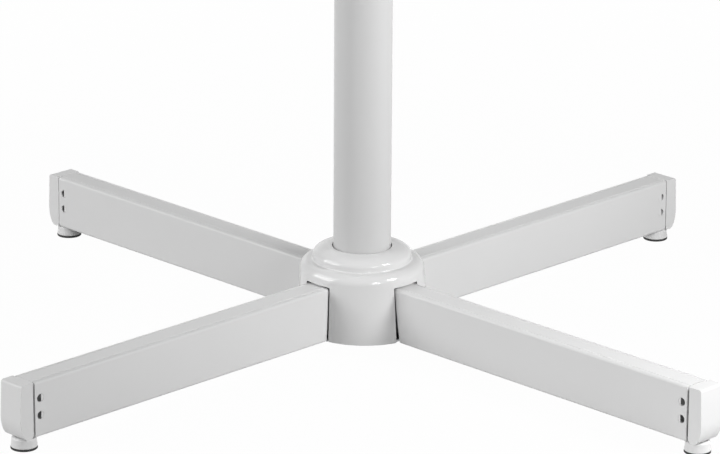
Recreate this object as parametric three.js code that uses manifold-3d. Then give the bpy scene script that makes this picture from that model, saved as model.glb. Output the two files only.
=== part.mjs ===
// Rotary clothesline on a free-standing cross base. Millimetres, +Z up, floor at z = 0.
import * as THREE from 'three';
import { mergeVertices } from 'three/addons/utils/BufferGeometryUtils.js';
import Module from 'manifold-3d';

const wasm = await Module();
wasm.setup();

// The gap that touching pieces keep to each other.
const GAP = 0.3;

// The legs and arms lie on the diagonals: each is named by the quarter it points to.
const QUARTERS = [
  { name: 'back_right', angle: Math.PI / 4 },
  { name: 'back_left', angle: (3 * Math.PI) / 4 },
  { name: 'front_left', angle: (5 * Math.PI) / 4 },
  { name: 'front_right', angle: (7 * Math.PI) / 4 },
];

// Legs: rectangular tubes with a shallow groove beside each long edge.
const LEG_BOTTOM = 10.8;
const LEG_HEIGHT = 48.3;
const LEG_WIDTH = 25;
const LEG_WALL = 1.8;
const LEG_CORNER = 2.6;
const LEG_START_TOP = 53.3;
const LEG_START_BOTTOM = 56.1;
const LEG_END = 385.5;
const LEG_TOP = LEG_BOTTOM + LEG_HEIGHT;
const GROOVE_IN = 4.6;
const GROOVE_HALF = 0.7;
const GROOVE_DEEP = 0.5;
const SNAP_HOLE_X = 380;
const SNAP_HOLES_Z = [29.6, 44.4];
const SNAP_HOLE_R = 3.6;
const BOLT_X = 72;

// End caps and screw feet.
const CAP_FACE = 387;
const CAP_END = 400.7;
const CAP_LEAN = 1.2;
const PLUG_START = 352;
const FOOT_X = 387;
const PAD_R = 11.2;
const PAD_HEIGHT = 1.7;
const FOOT_TOP = 10.4;
const STEM_R = 4;
const STEM_TOP = 36;

// Hub cover and the cast core inside it.
const SKIRT_R = 54.4;
const SKIRT_DRAFT = 1.6;
const SKIRT_BOTTOM = 10.9;
const SHOULDER_R = 8.5;
const SHOULDER_TOP = 72;
const NECK_R = 43;
const NECK_ROUND = [15.5, 7.8];
const COVER_TOP = 83.8;
const COVER_WALL = 3;
const COVER_BORE = 25.9;
const SLOT_HALF = LEG_WIDTH / 2 + 1.15;
const SLOT_TOP = LEG_TOP + 0.9;
const CORE_R = 34;
const CORE_BASE_R = 52.4;
const CORE_BOTTOM = 11;
const CORE_TOP = 68.8;
const SOCKET_R = 29.6;
const SOCKET_FLOOR = 16;
const SPIGOT_START = 62;
const SPIGOT_END = 96;

// Mast.
const MAST_R = 25;
const MAST_WALL = 1.6;
const MAST_BOTTOM = 22.9;
const MAST_TOP = 1760;
const BUSH_BORE = MAST_R + GAP;

// Head: a slider carries the arms, a crown near the mast's top carries the struts.
const SLIDER_Z = 1330;
const SLIDER_BORE = 25.5;
const SLIDER_R = 35;
const GRIP_R = 32;
const ARM_PIN_X = 46;
const ARM_TILT = THREE.MathUtils.degToRad(20);
const ARM_LENGTH = 800;
const ARM_HEIGHT = 18;
const ARM_WIDTH = 14;
const ARM_WALL = 1.4;
const ARM_LUG = 3.5;
const ARM_LUG_R = 11;
const LINE_HOLE_R = 2.6;
const LINE_HOLE_FIRST = 200;
const LINE_HOLE_PITCH = 108;
const LINE_HOLE_COUNT = 6;
const PIN_R = 3;
const PIN_HEAD_R = 5.2;
const PIN_HEAD = 2;

const CROWN_Z = 1720;
const CROWN_R = 31.5;
const CROWN_HALF = 18;
const STRUT_PIN_X = 40;
const STRUT_ON_ARM = 420;
const STRUT_HEIGHT = 14;
const STRUT_WIDTH = 6;
const STRUT_WALL = 1.2;
const STRUT_SIDE = 11;
const STRUT_LUG = 3;
const STRUT_LUG_R = 8.5;
const PIVOT_X = ARM_PIN_X + STRUT_ON_ARM * Math.cos(ARM_TILT);
const PIVOT_Z = SLIDER_Z + STRUT_ON_ARM * Math.sin(ARM_TILT);
const STRUT_LENGTH = Math.hypot(PIVOT_X - STRUT_PIN_X, CROWN_Z - PIVOT_Z);
const STRUT_TILT = Math.atan2(CROWN_Z - PIVOT_Z, PIVOT_X - STRUT_PIN_X);

// Clamp on the slider's front.
const CLAMP_Z = -30;
const BOSS_R = 10;
const BOSS_END = 44;
const NUT_FLATS = 13;
const STUD_R = 3.9;
const SHOE_R = 6;
const KNOB_R = 19;
const KNOB_LOBES = 6;
const KNOB_THICK = 12;

const MATERIALS = {
  tube: new THREE.MeshStandardMaterial({ color: 0xdcdcdc, roughness: 0.35, metalness: 0.1 }),
  cover: new THREE.MeshStandardMaterial({ color: 0xdedede, roughness: 0.2, metalness: 0 }),
  plastic: new THREE.MeshStandardMaterial({ color: 0xd8d8d8, roughness: 0.45, metalness: 0 }),
  rubber: new THREE.MeshStandardMaterial({ color: 0x1c1c1c, roughness: 0.9, metalness: 0 }),
  cast: new THREE.MeshStandardMaterial({ color: 0xa8aaad, roughness: 0.5, metalness: 1 }),
  steel: new THREE.MeshStandardMaterial({ color: 0xb8babd, roughness: 0.35, metalness: 1 }),
  bush: new THREE.MeshStandardMaterial({ color: 0x3a3a3c, roughness: 0.6, metalness: 0 }),
  knob: new THREE.MeshStandardMaterial({ color: 0x4a4c50, roughness: 0.5, metalness: 0 }),
};

// ---- Helpers -------------------------------------------------------------------------------

function toSolid(geometry) {
  const bare = geometry.clone();
  bare.deleteAttribute('normal');
  bare.deleteAttribute('uv');
  const merged = mergeVertices(bare, 1e-4);
  return new wasm.Manifold(new wasm.Mesh({
    numProp: 3,
    vertProperties: Float32Array.from(merged.attributes.position.array),
    triVerts: Uint32Array.from(merged.index.array),
  }));
}

function toGeometry(solid) {
  const mesh = solid.getMesh();
  const geometry = new THREE.BufferGeometry();
  geometry.setAttribute('position', new THREE.BufferAttribute(mesh.vertProperties, 3));
  geometry.setIndex(new THREE.BufferAttribute(mesh.triVerts, 1));
  geometry.computeVertexNormals();
  return geometry;
}

function join(first, ...others) {
  return toGeometry(others.reduce((sum, other) => sum.add(toSolid(other)), toSolid(first)));
}

function cut(first, ...tools) {
  return toGeometry(tools.reduce((rest, tool) => rest.subtract(toSolid(tool)), toSolid(first)));
}

function common(first, ...others) {
  return toGeometry(others.reduce((rest, other) => rest.intersect(toSolid(other)), toSolid(first)));
}

// A solid turned about Z from a closed outline of (radius, height) points.
function revolve(points, segments) {
  const profile = points.map(([r, z]) => new THREE.Vector2(r, z));
  return new THREE.LatheGeometry(profile, segments).rotateX(Math.PI / 2);
}

// A full cylinder about the line through `at`, along Y or Z.
function rod(radius, length, axis, at, segments = 16) {
  const geometry = new THREE.CylinderGeometry(radius, radius, length, segments);
  if (axis === 'z') geometry.rotateX(Math.PI / 2);
  return geometry.translate(...at);
}

function box(xRange, yRange, zRange) {
  const ranges = [xRange, yRange, zRange];
  const sizes = ranges.map(([low, high]) => high - low);
  const centres = ranges.map(([low, high]) => (high + low) / 2);
  return new THREE.BoxGeometry(...sizes).translate(...centres);
}

function ellipse(cx, cy, [a, b], from, to, steps) {
  return Array.from({ length: steps + 1 }, (_, i) => {
    const angle = THREE.MathUtils.degToRad(from + ((to - from) * i) / steps);
    return [cx + a * Math.cos(angle), cy + b * Math.sin(angle)];
  });
}

function arc(cx, cy, radius, from, to, steps) {
  return ellipse(cx, cy, [radius, radius], from, to, steps);
}

function roundedRectangle(width, height, radius, steps) {
  const w = width / 2 - radius;
  const h = height / 2 - radius;
  return [
    ...arc(w, h, radius, 0, 90, steps),
    ...arc(-w, h, radius, 90, 180, steps),
    ...arc(-w, -h, radius, 180, 270, steps),
    ...arc(w, -h, radius, 270, 360, steps),
  ];
}

function toShape(outline, holes = []) {
  const shape = new THREE.Shape(outline.map(([x, y]) => new THREE.Vector2(x, y)));
  shape.holes = holes.map((hole) => new THREE.Path(hole.map(([x, y]) => new THREE.Vector2(x, y))));
  return shape;
}

function extrude(shape, depth) {
  return new THREE.ExtrudeGeometry(shape, { depth, bevelEnabled: false, steps: 1 });
}

// A (y, z) section run along +X between two stations.
function runAlongX(shape, from, to) {
  const turn = new THREE.Matrix4().makeBasis(
    new THREE.Vector3(0, 1, 0),
    new THREE.Vector3(0, 0, 1),
    new THREE.Vector3(1, 0, 0),
  );
  return extrude(shape, to - from).applyMatrix4(turn).translate(from, 0, 0);
}

// An (x, z) side outline with its thickness across Y.
function runAcrossY(shape, from, to) {
  return extrude(shape, to - from).rotateX(Math.PI / 2).translate(0, to, 0);
}

// A bar's (x, z) side outline with a half-round end about each of two pin stations.
function stadium(from, to, radius, steps) {
  return [...arc(from, 0, radius, 90, 270, steps), ...arc(to, 0, radius, -90, 90, steps)];
}

const group = new THREE.Group();

function place(parent, name, geometry, material) {
  const mesh = new THREE.Mesh(geometry, material);
  mesh.name = name;
  parent.add(mesh);
  return mesh;
}

function turned(angle, parent = group) {
  const holder = new THREE.Group();
  holder.rotation.z = angle;
  parent.add(holder);
  return holder;
}

// ---- Base ----------------------------------------------------------------------------------

function legSection() {
  const steps = 2;
  const w = LEG_WIDTH / 2;
  const h = LEG_HEIGHT / 2;
  const groove = (side, level, step) => [-1, -0.4, 0.4, 1].map((k) => {
    const deep = Math.abs(k) < 1 ? GROOVE_DEEP : 0;
    return [side * (w - GROOVE_IN) + step * k * GROOVE_HALF, level - Math.sign(level) * deep];
  });
  const corner = (sx, sy, from) => arc(
    sx * (w - LEG_CORNER), sy * (h - LEG_CORNER), LEG_CORNER, from, from + 90, steps,
  );
  return [
    ...corner(1, 1, 0),
    ...groove(1, h, -1),
    ...groove(-1, h, -1),
    ...corner(-1, 1, 90),
    ...corner(-1, -1, 180),
    ...groove(-1, -h, 1),
    ...groove(1, -h, 1),
    ...corner(1, -1, 270),
  ];
}

// The hub end is cut at a slight lean, so that the leg stands clear of the cover's skirt.
function legTube() {
  const middle = LEG_BOTTOM + LEG_HEIGHT / 2;
  const inside = roundedRectangle(
    LEG_WIDTH - 2 * LEG_WALL, LEG_HEIGHT - 2 * LEG_WALL, LEG_CORNER - LEG_WALL, 1,
  );
  const side = toShape([
    [LEG_START_BOTTOM, LEG_BOTTOM],
    [LEG_END, LEG_BOTTOM],
    [LEG_END, LEG_TOP],
    [LEG_START_TOP, LEG_TOP],
  ]);
  const tube = common(
    runAlongX(toShape(legSection(), [inside]), LEG_START_TOP - 1, LEG_END + 1)
      .translate(0, 0, middle),
    runAcrossY(side, -LEG_WIDTH, LEG_WIDTH),
  );
  const snapHoles = SNAP_HOLES_Z.map(
    (z) => rod(SNAP_HOLE_R, LEG_WIDTH + 2, 'y', [SNAP_HOLE_X, 0, z], 12),
  );
  const stemNotch = rod(STEM_R + 1.2, 10, 'z', [FOOT_X - 1, 0, LEG_BOTTOM], 12);
  const boltHole = rod(PIN_R + GAP, 10, 'z', [BOLT_X, 0, LEG_BOTTOM], 8);
  return cut(tube, ...snapHoles, stemNotch, boltHole);
}

// The flange stands off the tube, and a tab on top closes that gap to the rain.
function endCap() {
  const middle = LEG_BOTTOM + LEG_HEIGHT / 2;
  const bottom = LEG_BOTTOM + 0.1;
  const round = 2.2;
  const top = CAP_END - CAP_LEAN;
  const side = [
    [CAP_FACE, bottom + 4.5],
    ...arc(CAP_FACE + 4, bottom + 4, 4, 195, 270, 2),
    [CAP_END - 7.4, bottom + 0.1],
    [CAP_END - 4.8, bottom + 1.5],
    [CAP_END - 2.8, bottom + 4.2],
    [CAP_END - 1.3, bottom + 7.8],
    [CAP_END - 0.3, bottom + 12.5],
    [CAP_END, bottom + 17.5],
    ...arc(top - round, LEG_TOP - round, round, 0, 90, 3),
    [CAP_FACE, LEG_TOP],
  ];
  const plan = [
    [CAP_FACE, -LEG_WIDTH / 2],
    ...arc(CAP_END - round, -LEG_WIDTH / 2 + round, round, -90, 0, 2),
    ...arc(CAP_END - round, LEG_WIDTH / 2 - round, round, 0, 90, 2),
    [CAP_FACE, LEG_WIDTH / 2],
  ];
  const section = toShape(roundedRectangle(LEG_WIDTH, LEG_HEIGHT - 0.1, LEG_CORNER, 2));
  const flange = common(
    runAcrossY(toShape(side), -LEG_WIDTH, LEG_WIDTH),
    extrude(toShape(plan), LEG_TOP + 10),
    runAlongX(section, CAP_FACE - 5, CAP_END + 5).translate(0, 0, middle + 0.05),
  );
  const tab = box([LEG_END + GAP, CAP_FACE + 1], [-9, 9], [LEG_TOP - 4, LEG_TOP]);
  const plugHalf = LEG_WIDTH / 2 - LEG_WALL - GAP;
  const plugHeight = LEG_HEIGHT - 2 * LEG_WALL - 2 * GAP;
  const plug = runAlongX(toShape(roundedRectangle(2 * plugHalf, plugHeight, 1.2, 1)), PLUG_START,
    CAP_FACE + 1).translate(0, 0, middle);
  const barbs = SNAP_HOLES_Z.map(
    (z) => rod(SNAP_HOLE_R - 0.3, LEG_WIDTH - 0.4, 'y', [SNAP_HOLE_X, 0, z], 12),
  );
  const reliefs = [[-LEG_WIDTH, 3 - plugHalf], [plugHalf - 3, LEG_WIDTH]].map(
    (yRange) => box([SNAP_HOLE_X - 0.3, CAP_FACE], yRange, [LEG_BOTTOM, LEG_TOP - 4.5]),
  );
  const pocket = 2.2;
  const pockets = [[LEG_BOTTOM + 5, middle - 1], [middle + 1, LEG_TOP - 5]].map((zRange) => box(
    [PLUG_START - 1, SNAP_HOLE_X - 6],
    [pocket - plugHalf, plugHalf - pocket],
    zRange,
  ));
  const stemBore = rod(STEM_R + GAP, STEM_TOP + 2, 'z', [FOOT_X, 0, STEM_TOP / 2], 14);
  return cut(join(flange, tab, plug, ...barbs), ...reliefs, ...pockets, stemBore);
}

function foot() {
  const base = PAD_HEIGHT + GAP;
  return revolve([
    [0, base],
    [10.9, base],
    [11.1, base + 0.6],
    [10.5, base + 2.9],
    ...arc(8.6, FOOT_TOP - 1.8, 1.8, 0, 90, 2),
    [STEM_R, FOOT_TOP],
    [STEM_R, STEM_TOP],
    [0, STEM_TOP],
  ], 20).translate(FOOT_X, 0, 0);
}

function footPad() {
  return revolve([
    [0, 0],
    [PAD_R - 0.6, 0],
    [PAD_R, 0.6],
    [PAD_R, PAD_HEIGHT],
    [0, PAD_HEIGHT],
  ], 20).translate(FOOT_X, 0, 0);
}

function legBolt() {
  const underside = LEG_BOTTOM - GAP;
  return revolve([
    [0, underside - 3],
    [5.6, underside - 2],
    [5.6, underside],
    [PIN_R - GAP, underside],
    [PIN_R - GAP, 30],
    [0, 30],
  ], 8).translate(BOLT_X, 0, 0);
}

function hubCover() {
  const [roundX, roundZ] = NECK_ROUND;
  const neckX = NECK_R - roundX;
  const neckZ = COVER_TOP - roundZ;
  const shoulderZ = SHOULDER_TOP - SHOULDER_R;
  const shoulderX = SKIRT_R - SHOULDER_R;
  const inner = [roundX - COVER_WALL, roundZ - COVER_WALL];
  const shell = revolve([
    [SKIRT_R + SKIRT_DRAFT - COVER_WALL, SKIRT_BOTTOM],
    [SKIRT_R + SKIRT_DRAFT, SKIRT_BOTTOM],
    ...arc(shoulderX, shoulderZ, SHOULDER_R, 0, 90, 5),
    [NECK_R + 1.1, SHOULDER_TOP],
    [NECK_R, SHOULDER_TOP + 1.1],
    ...ellipse(neckX, neckZ, NECK_ROUND, 0, 90, 6),
    [COVER_BORE + 0.5, COVER_TOP],
    [COVER_BORE, COVER_TOP - 0.6],
    [COVER_BORE, CORE_TOP + 2.9],
    [COVER_BORE + COVER_WALL, CORE_TOP + 2.9],
    ...ellipse(neckX, neckZ, inner, 80, 0, 3),
    [NECK_R - COVER_WALL, SHOULDER_TOP - COVER_WALL],
    ...arc(shoulderX, shoulderZ, SHOULDER_R - COVER_WALL, 90, 0, 2),
    [SKIRT_R + SKIRT_DRAFT - COVER_WALL, SKIRT_BOTTOM],
  ], 52);
  const round = 1.2;
  const slot = toShape([
    [-SLOT_HALF, SKIRT_BOTTOM - 1],
    [SLOT_HALF, SKIRT_BOTTOM - 1],
    ...arc(SLOT_HALF - round, SLOT_TOP - round, round, 0, 90, 2),
    ...arc(round - SLOT_HALF, SLOT_TOP - round, round, 90, 180, 2),
  ]);
  const slots = QUARTERS.map(
    ({ angle }) => runAlongX(slot, CORE_R, SKIRT_R + 6).rotateZ(angle),
  );
  return cut(shell, ...slots);
}

// A round base plate closes the cover from below, a socket takes the mast's bushes, and four
// spigots on narrower webs carry the legs.
function hubCore() {
  const middle = LEG_BOTTOM + LEG_HEIGHT / 2;
  const width = LEG_WIDTH - 2 * LEG_WALL - 2 * GAP;
  const height = LEG_HEIGHT - 2 * LEG_WALL - 2 * GAP;
  const socket = revolve([
    [0, CORE_BOTTOM],
    [CORE_BASE_R, CORE_BOTTOM],
    [CORE_BASE_R, CORE_BOTTOM + 2],
    [CORE_R, CORE_BOTTOM + 2],
    [CORE_R, CORE_TOP - 1],
    [CORE_R - 1, CORE_TOP],
    [SOCKET_R, CORE_TOP],
    [SOCKET_R, SOCKET_FLOOR],
    [0, SOCKET_FLOOR],
  ], 32);
  const outline = toShape(roundedRectangle(width, height, 1.2, 1));
  const web = toShape(roundedRectangle(width - 9, height - 4, 1.2, 1));
  const pocket = toShape(roundedRectangle(width - 6, height - 7, 1.2, 1));
  const spigots = QUARTERS.map(({ angle }) => cut(
    join(
      runAlongX(web, SOCKET_R + 2, SPIGOT_START + 1),
      runAlongX(outline, SPIGOT_START, SPIGOT_END),
    ).translate(0, 0, middle),
    runAlongX(pocket, BOLT_X + 8, SPIGOT_END + 1).translate(0, 0, middle),
    rod(PIN_R, 24, 'z', [BOLT_X, 0, 20], 8),
  ).rotateZ(angle));
  const drain = rod(5, 12, 'z', [0, 0, 13], 16);
  return cut(join(socket, ...spigots), drain);
}

function lowerBush() {
  const floor = SOCKET_FLOOR + GAP;
  return revolve([
    [6, floor],
    [SOCKET_R - GAP, floor],
    [SOCKET_R - GAP, floor + 20],
    [BUSH_BORE, floor + 20],
    [BUSH_BORE, floor + 3],
    [6, floor + 3],
    [6, floor],
  ], 24);
}

function upperBush() {
  const flange = CORE_TOP + GAP;
  return revolve([
    [BUSH_BORE, flange - 18],
    [SOCKET_R - GAP, flange - 18],
    [SOCKET_R - GAP, flange],
    [CORE_R - 1, flange],
    [CORE_R - 1, flange + 2.2],
    [BUSH_BORE + 0.8, flange + 2.2],
    [BUSH_BORE, flange + 1.4],
    [BUSH_BORE, flange - 18],
  ], 28);
}

// ---- Mast ----------------------------------------------------------------------------------

function mastTube() {
  return revolve([
    [MAST_R - MAST_WALL, MAST_BOTTOM],
    [MAST_R, MAST_BOTTOM],
    [MAST_R, MAST_TOP],
    [MAST_R - MAST_WALL, MAST_TOP],
    [MAST_R - MAST_WALL, MAST_BOTTOM],
  ], 48);
}

function bottomPlug() {
  const top = MAST_BOTTOM - GAP;
  const spigot = MAST_R - MAST_WALL - GAP;
  return revolve([
    [0, top - 3],
    [MAST_R, top - 3],
    [MAST_R, top],
    [spigot, top],
    [spigot - 0.8, top + 16],
    [spigot - 3, top + 16],
    [spigot - 3, top],
    [0, top],
  ], 24);
}

function topCap() {
  const rim = MAST_TOP + GAP;
  const spigot = MAST_R - MAST_WALL - GAP;
  return revolve([
    [0, rim + 1],
    [spigot - 3, rim + 1],
    [spigot - 3, rim - 18],
    [spigot, rim - 18],
    [spigot, rim],
    [MAST_R + 1, rim],
    [MAST_R + 1, rim + 2.5],
    [MAST_R - 2, rim + 5.4],
    [MAST_R - 10, rim + 8],
    [0, rim + 8.8],
  ], 28);
}

// ---- Head ----------------------------------------------------------------------------------

// Two cheeks beside a bar that hangs between them on a pin, in the carrier's own frame.
function forkCheeks(start, pinX, radius, side, halfGap, thickness) {
  const outline = toShape([
    [start, -radius],
    ...arc(pinX, 0, radius, -90, 90, 6),
    [start, radius],
  ]);
  return [side - halfGap - thickness, side + halfGap].map(
    (from) => runAcrossY(outline, from, from + thickness),
  );
}

function slider() {
  const body = revolve([
    [SLIDER_BORE, -48],
    [GRIP_R - 2, -48],
    [GRIP_R, -46],
    [GRIP_R, -18],
    ...arc(SLIDER_R - 6, -12, 6, -30, 0, 1),
    ...arc(SLIDER_R - 4, 12, 4, 0, 90, 2),
    [GRIP_R - 2.6, 24],
    [SLIDER_BORE, 24],
    [SLIDER_BORE, -48],
  ], 28);
  const halfGap = ARM_WIDTH / 2 + 0.6;
  const cheeks = QUARTERS.flatMap(({ angle }) => (
    forkCheeks(GRIP_R - 4, ARM_PIN_X, ARM_LUG_R, 0, halfGap, ARM_LUG)
      .map((cheek) => cheek.rotateZ(angle))
  ));
  const pinHoles = QUARTERS.map(
    ({ angle }) => rod(PIN_R + GAP, 30, 'y', [ARM_PIN_X, 0, 0], 10).rotateZ(angle),
  );
  const boss = rod(BOSS_R, BOSS_END - GRIP_R + 3, 'y', [0, -(BOSS_END + GRIP_R - 3) / 2, CLAMP_Z], 20);
  const studHole = rod(STUD_R + 0.5, 40, 'y', [0, -(SLIDER_BORE + 20), CLAMP_Z], 12);
  const nutPocket = hexagon(NUT_FLATS + 2 * GAP, 12).translate(0, -BOSS_END + 2, CLAMP_Z);
  const shoePocket = rod(SHOE_R + GAP, 12, 'y', [0, -(SLIDER_BORE - 2.5), CLAMP_Z], 14);
  return cut(join(body, ...cheeks, boss), ...pinHoles, studHole, nutPocket, shoePocket);
}

// A six-sided bar about Y, centred on its length.
function hexagon(flats, length) {
  return rod(flats / Math.sqrt(3), length, 'y', [0, 0, 0], 6);
}

function clampNut() {
  const nut = hexagon(NUT_FLATS, 7).translate(0, -BOSS_END + 4, CLAMP_Z);
  return cut(nut, rod(STUD_R + GAP, 20, 'y', [0, -BOSS_END + 4, CLAMP_Z], 12));
}

function clampShoe() {
  return rod(SHOE_R, 2.6, 'y', [0, -(MAST_R + 2 * GAP + 1.3), CLAMP_Z], 14);
}

function clampKnob() {
  const face = BOSS_END + 1;
  const steps = 48;
  const outline = Array.from({ length: steps }, (_, i) => {
    const angle = (i / steps) * 2 * Math.PI;
    const radius = KNOB_R - 2.4 + 2.4 * Math.cos(KNOB_LOBES * angle);
    return new THREE.Vector2(radius * Math.cos(angle), radius * Math.sin(angle));
  });
  const bevel = 1.6;
  const grip = new THREE.ExtrudeGeometry(new THREE.Shape(outline), {
    depth: KNOB_THICK - 2 * bevel,
    bevelEnabled: true,
    bevelThickness: bevel,
    bevelSize: bevel,
    bevelOffset: -bevel,
    bevelSegments: 1,
  }).rotateX(Math.PI / 2).translate(0, -face - bevel, CLAMP_Z);
  const studStart = MAST_R + 2 * GAP + 2.6 + GAP;
  const studLength = face + 4 - studStart;
  const stud = rod(STUD_R, studLength, 'y', [0, -(studStart + studLength / 2), CLAMP_Z], 12);
  return join(grip, stud);
}

function crown() {
  const body = revolve([
    [BUSH_BORE, -CROWN_HALF],
    [CROWN_R - 2, -CROWN_HALF],
    [CROWN_R, -CROWN_HALF + 2],
    [CROWN_R, CROWN_HALF - 4],
    ...arc(CROWN_R - 4, CROWN_HALF - 4, 4, 0, 90, 2).slice(1),
    [BUSH_BORE, CROWN_HALF],
    [BUSH_BORE, -CROWN_HALF],
  ], 28);
  const halfGap = STRUT_WIDTH / 2 + 0.5;
  const cheeks = QUARTERS.flatMap(({ angle }) => (
    forkCheeks(BUSH_BORE + 0.8, STRUT_PIN_X, STRUT_LUG_R, STRUT_SIDE, halfGap, STRUT_LUG)
      .map((cheek) => cheek.rotateZ(angle))
  ));
  const pinHoles = QUARTERS.map(
    ({ angle }) => rod(PIN_R + GAP, 30, 'y', [STRUT_PIN_X, STRUT_SIDE + 2, 0], 10).rotateZ(angle),
  );
  return cut(join(body, ...cheeks), ...pinHoles);
}

// A rectangular tube with round ends, from its first pin station at x = 0.
function roundEndedTube(length, height, width, wall) {
  const outside = roundedRectangle(width, height, 2, 1);
  const inside = roundedRectangle(width - 2 * wall, height - 2 * wall, 0.8, 1);
  const reach = height / 2;
  const tube = runAlongX(toShape(outside, [inside]), -reach - 1, length + reach + 1);
  return common(tube, runAcrossY(toShape(stadium(0, length, reach, 5)), -width, width));
}

function arm() {
  const outside = toShape(
    roundedRectangle(ARM_WIDTH, ARM_HEIGHT, 2.5, 2),
    [roundedRectangle(ARM_WIDTH - 2 * ARM_WALL, ARM_HEIGHT - 2 * ARM_WALL, 1.1, 1)],
  );
  const reach = ARM_HEIGHT / 2;
  const side = toShape([
    ...arc(0, 0, reach, 90, 270, 6),
    [ARM_LENGTH, -reach],
    [ARM_LENGTH, reach],
  ]);
  const tube = common(
    runAlongX(outside, -reach - 1, ARM_LENGTH + 1),
    runAcrossY(side, -ARM_WIDTH, ARM_WIDTH),
  );
  const holes = [rod(PIN_R + GAP, 20, 'y', [0, 0, 0], 10)];
  holes.push(rod(PIN_R - GAP, 20, 'y', [STRUT_ON_ARM, 0, 0], 8));
  for (let i = 0; i < LINE_HOLE_COUNT; i += 1) {
    const x = LINE_HOLE_FIRST + i * LINE_HOLE_PITCH;
    holes.push(rod(LINE_HOLE_R, 20, 'y', [x, 0, 0], 8));
  }
  return cut(tube, ...holes);
}

// A plug whose nose turns up into a hook for the outermost line.
function armCap() {
  const face = ARM_LENGTH + GAP;
  const reach = ARM_HEIGHT / 2;
  const nose = toShape([
    [face, -reach],
    ...arc(face + 9, -reach + 7, 7, -90, 0, 5),
    [face + 16, reach + 3],
    ...arc(face + 14, reach + 3, 2, 0, 180, 5),
    [face + 12, reach - 3.2],
    ...arc(face + 10.2, reach - 3.2, 1.8, 0, -180, 5),
    [face + 8.4, reach - 1],
    ...arc(face + 7.4, reach - 1, 1, 0, 90, 2),
    [face, reach],
  ]);
  const head = runAcrossY(nose, -ARM_WIDTH / 2, ARM_WIDTH / 2);
  const width = ARM_WIDTH - 2 * ARM_WALL - 2 * GAP;
  const height = ARM_HEIGHT - 2 * ARM_WALL - 2 * GAP;
  const plug = runAlongX(toShape(roundedRectangle(width, height, 1, 1)), face - 22, face + 1);
  return join(head, plug);
}

function strut() {
  const tube = roundEndedTube(STRUT_LENGTH, STRUT_HEIGHT, STRUT_WIDTH, STRUT_WALL);
  return cut(
    tube,
    rod(PIN_R + GAP, 20, 'y', [0, 0, 0], 10),
    rod(PIN_R, 20, 'y', [STRUT_LENGTH, 0, 0], 10),
  ).translate(0, STRUT_SIDE, 0);
}

// A headed pin across Y, centred on y = 0, with its heads outside the given half width.
function headedPin(halfWidth) {
  const end = halfWidth + GAP;
  const half = [
    [0, -end - PIN_HEAD],
    [PIN_HEAD_R - 1, -end - PIN_HEAD],
    [PIN_HEAD_R, -end],
    [PIN_R, -end],
  ];
  const other = half.map(([r, z]) => [r, -z]).reverse();
  return revolve([...half, ...other], 8).rotateX(Math.PI / 2);
}

// The rivet keeps to the strut's own thickness: its far end stops short of the arm.
function strutRivet() {
  const outer = STRUT_WIDTH / 2 + GAP;
  const profile = [
    [0, -STRUT_WIDTH / 2],
    [PIN_R - GAP, -STRUT_WIDTH / 2],
    [PIN_R - GAP, outer],
    [PIN_HEAD_R, outer],
    [PIN_HEAD_R - 0.8, outer + PIN_HEAD],
    [0, outer + PIN_HEAD],
  ];
  return revolve(profile, 10).rotateX(-Math.PI / 2).translate(STRUT_LENGTH, STRUT_SIDE, 0);
}

// ---- Assembly ------------------------------------------------------------------------------

place(group, 'hub_cover', hubCover(), MATERIALS.cover);
place(group, 'hub_core', hubCore(), MATERIALS.cast);
place(group, 'mast_bush_lower', lowerBush(), MATERIALS.bush);
place(group, 'mast_bush_upper', upperBush(), MATERIALS.bush);
place(group, 'mast_tube', mastTube(), MATERIALS.tube);
place(group, 'mast_bottom_plug', bottomPlug(), MATERIALS.plastic);
place(group, 'mast_top_cap', topCap(), MATERIALS.plastic);

const legShapes = {
  leg_tube: [legTube(), MATERIALS.tube],
  end_cap: [endCap(), MATERIALS.plastic],
  foot: [foot(), MATERIALS.plastic],
  foot_pad: [footPad(), MATERIALS.rubber],
  leg_bolt: [legBolt(), MATERIALS.steel],
};
QUARTERS.forEach(({ name, angle }) => {
  const leg = turned(angle);
  Object.entries(legShapes).forEach(([piece, [geometry, material]]) => {
    place(leg, `${piece}_${name}`, geometry, material);
  });
});

const carriage = new THREE.Group();
carriage.position.z = SLIDER_Z;
group.add(carriage);
place(carriage, 'slider', slider(), MATERIALS.plastic);
place(carriage, 'clamp_nut', clampNut(), MATERIALS.steel);
place(carriage, 'clamp_shoe', clampShoe(), MATERIALS.bush);
place(carriage, 'clamp_knob', clampKnob(), MATERIALS.knob);

const armShape = arm();
const armCapShape = armCap();
const armPinShape = headedPin(ARM_WIDTH / 2 + 0.6 + ARM_LUG);
QUARTERS.forEach(({ name, angle }) => {
  const side = turned(angle, carriage);
  const tilted = new THREE.Group();
  tilted.position.x = ARM_PIN_X;
  tilted.rotation.y = -ARM_TILT;
  side.add(tilted);
  place(tilted, `arm_${name}`, armShape, MATERIALS.tube);
  place(tilted, `arm_cap_${name}`, armCapShape, MATERIALS.plastic);
  place(side, `arm_pin_${name}`, armPinShape, MATERIALS.steel).position.x = ARM_PIN_X;
});

const head = new THREE.Group();
head.position.z = CROWN_Z;
group.add(head);
place(head, 'crown', crown(), MATERIALS.plastic);

const strutShape = strut();
const rivetShape = strutRivet();
const strutPinShape = headedPin(STRUT_WIDTH / 2 + 0.5 + STRUT_LUG);
QUARTERS.forEach(({ name, angle }) => {
  const side = turned(angle, head);
  const tilted = new THREE.Group();
  tilted.position.x = STRUT_PIN_X;
  tilted.rotation.y = STRUT_TILT;
  side.add(tilted);
  place(tilted, `strut_${name}`, strutShape, MATERIALS.tube);
  place(tilted, `strut_rivet_${name}`, rivetShape, MATERIALS.steel);
  const pin = place(side, `strut_pin_${name}`, strutPinShape, MATERIALS.steel);
  pin.position.set(STRUT_PIN_X, STRUT_SIDE, 0);
});

export default group;
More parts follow.
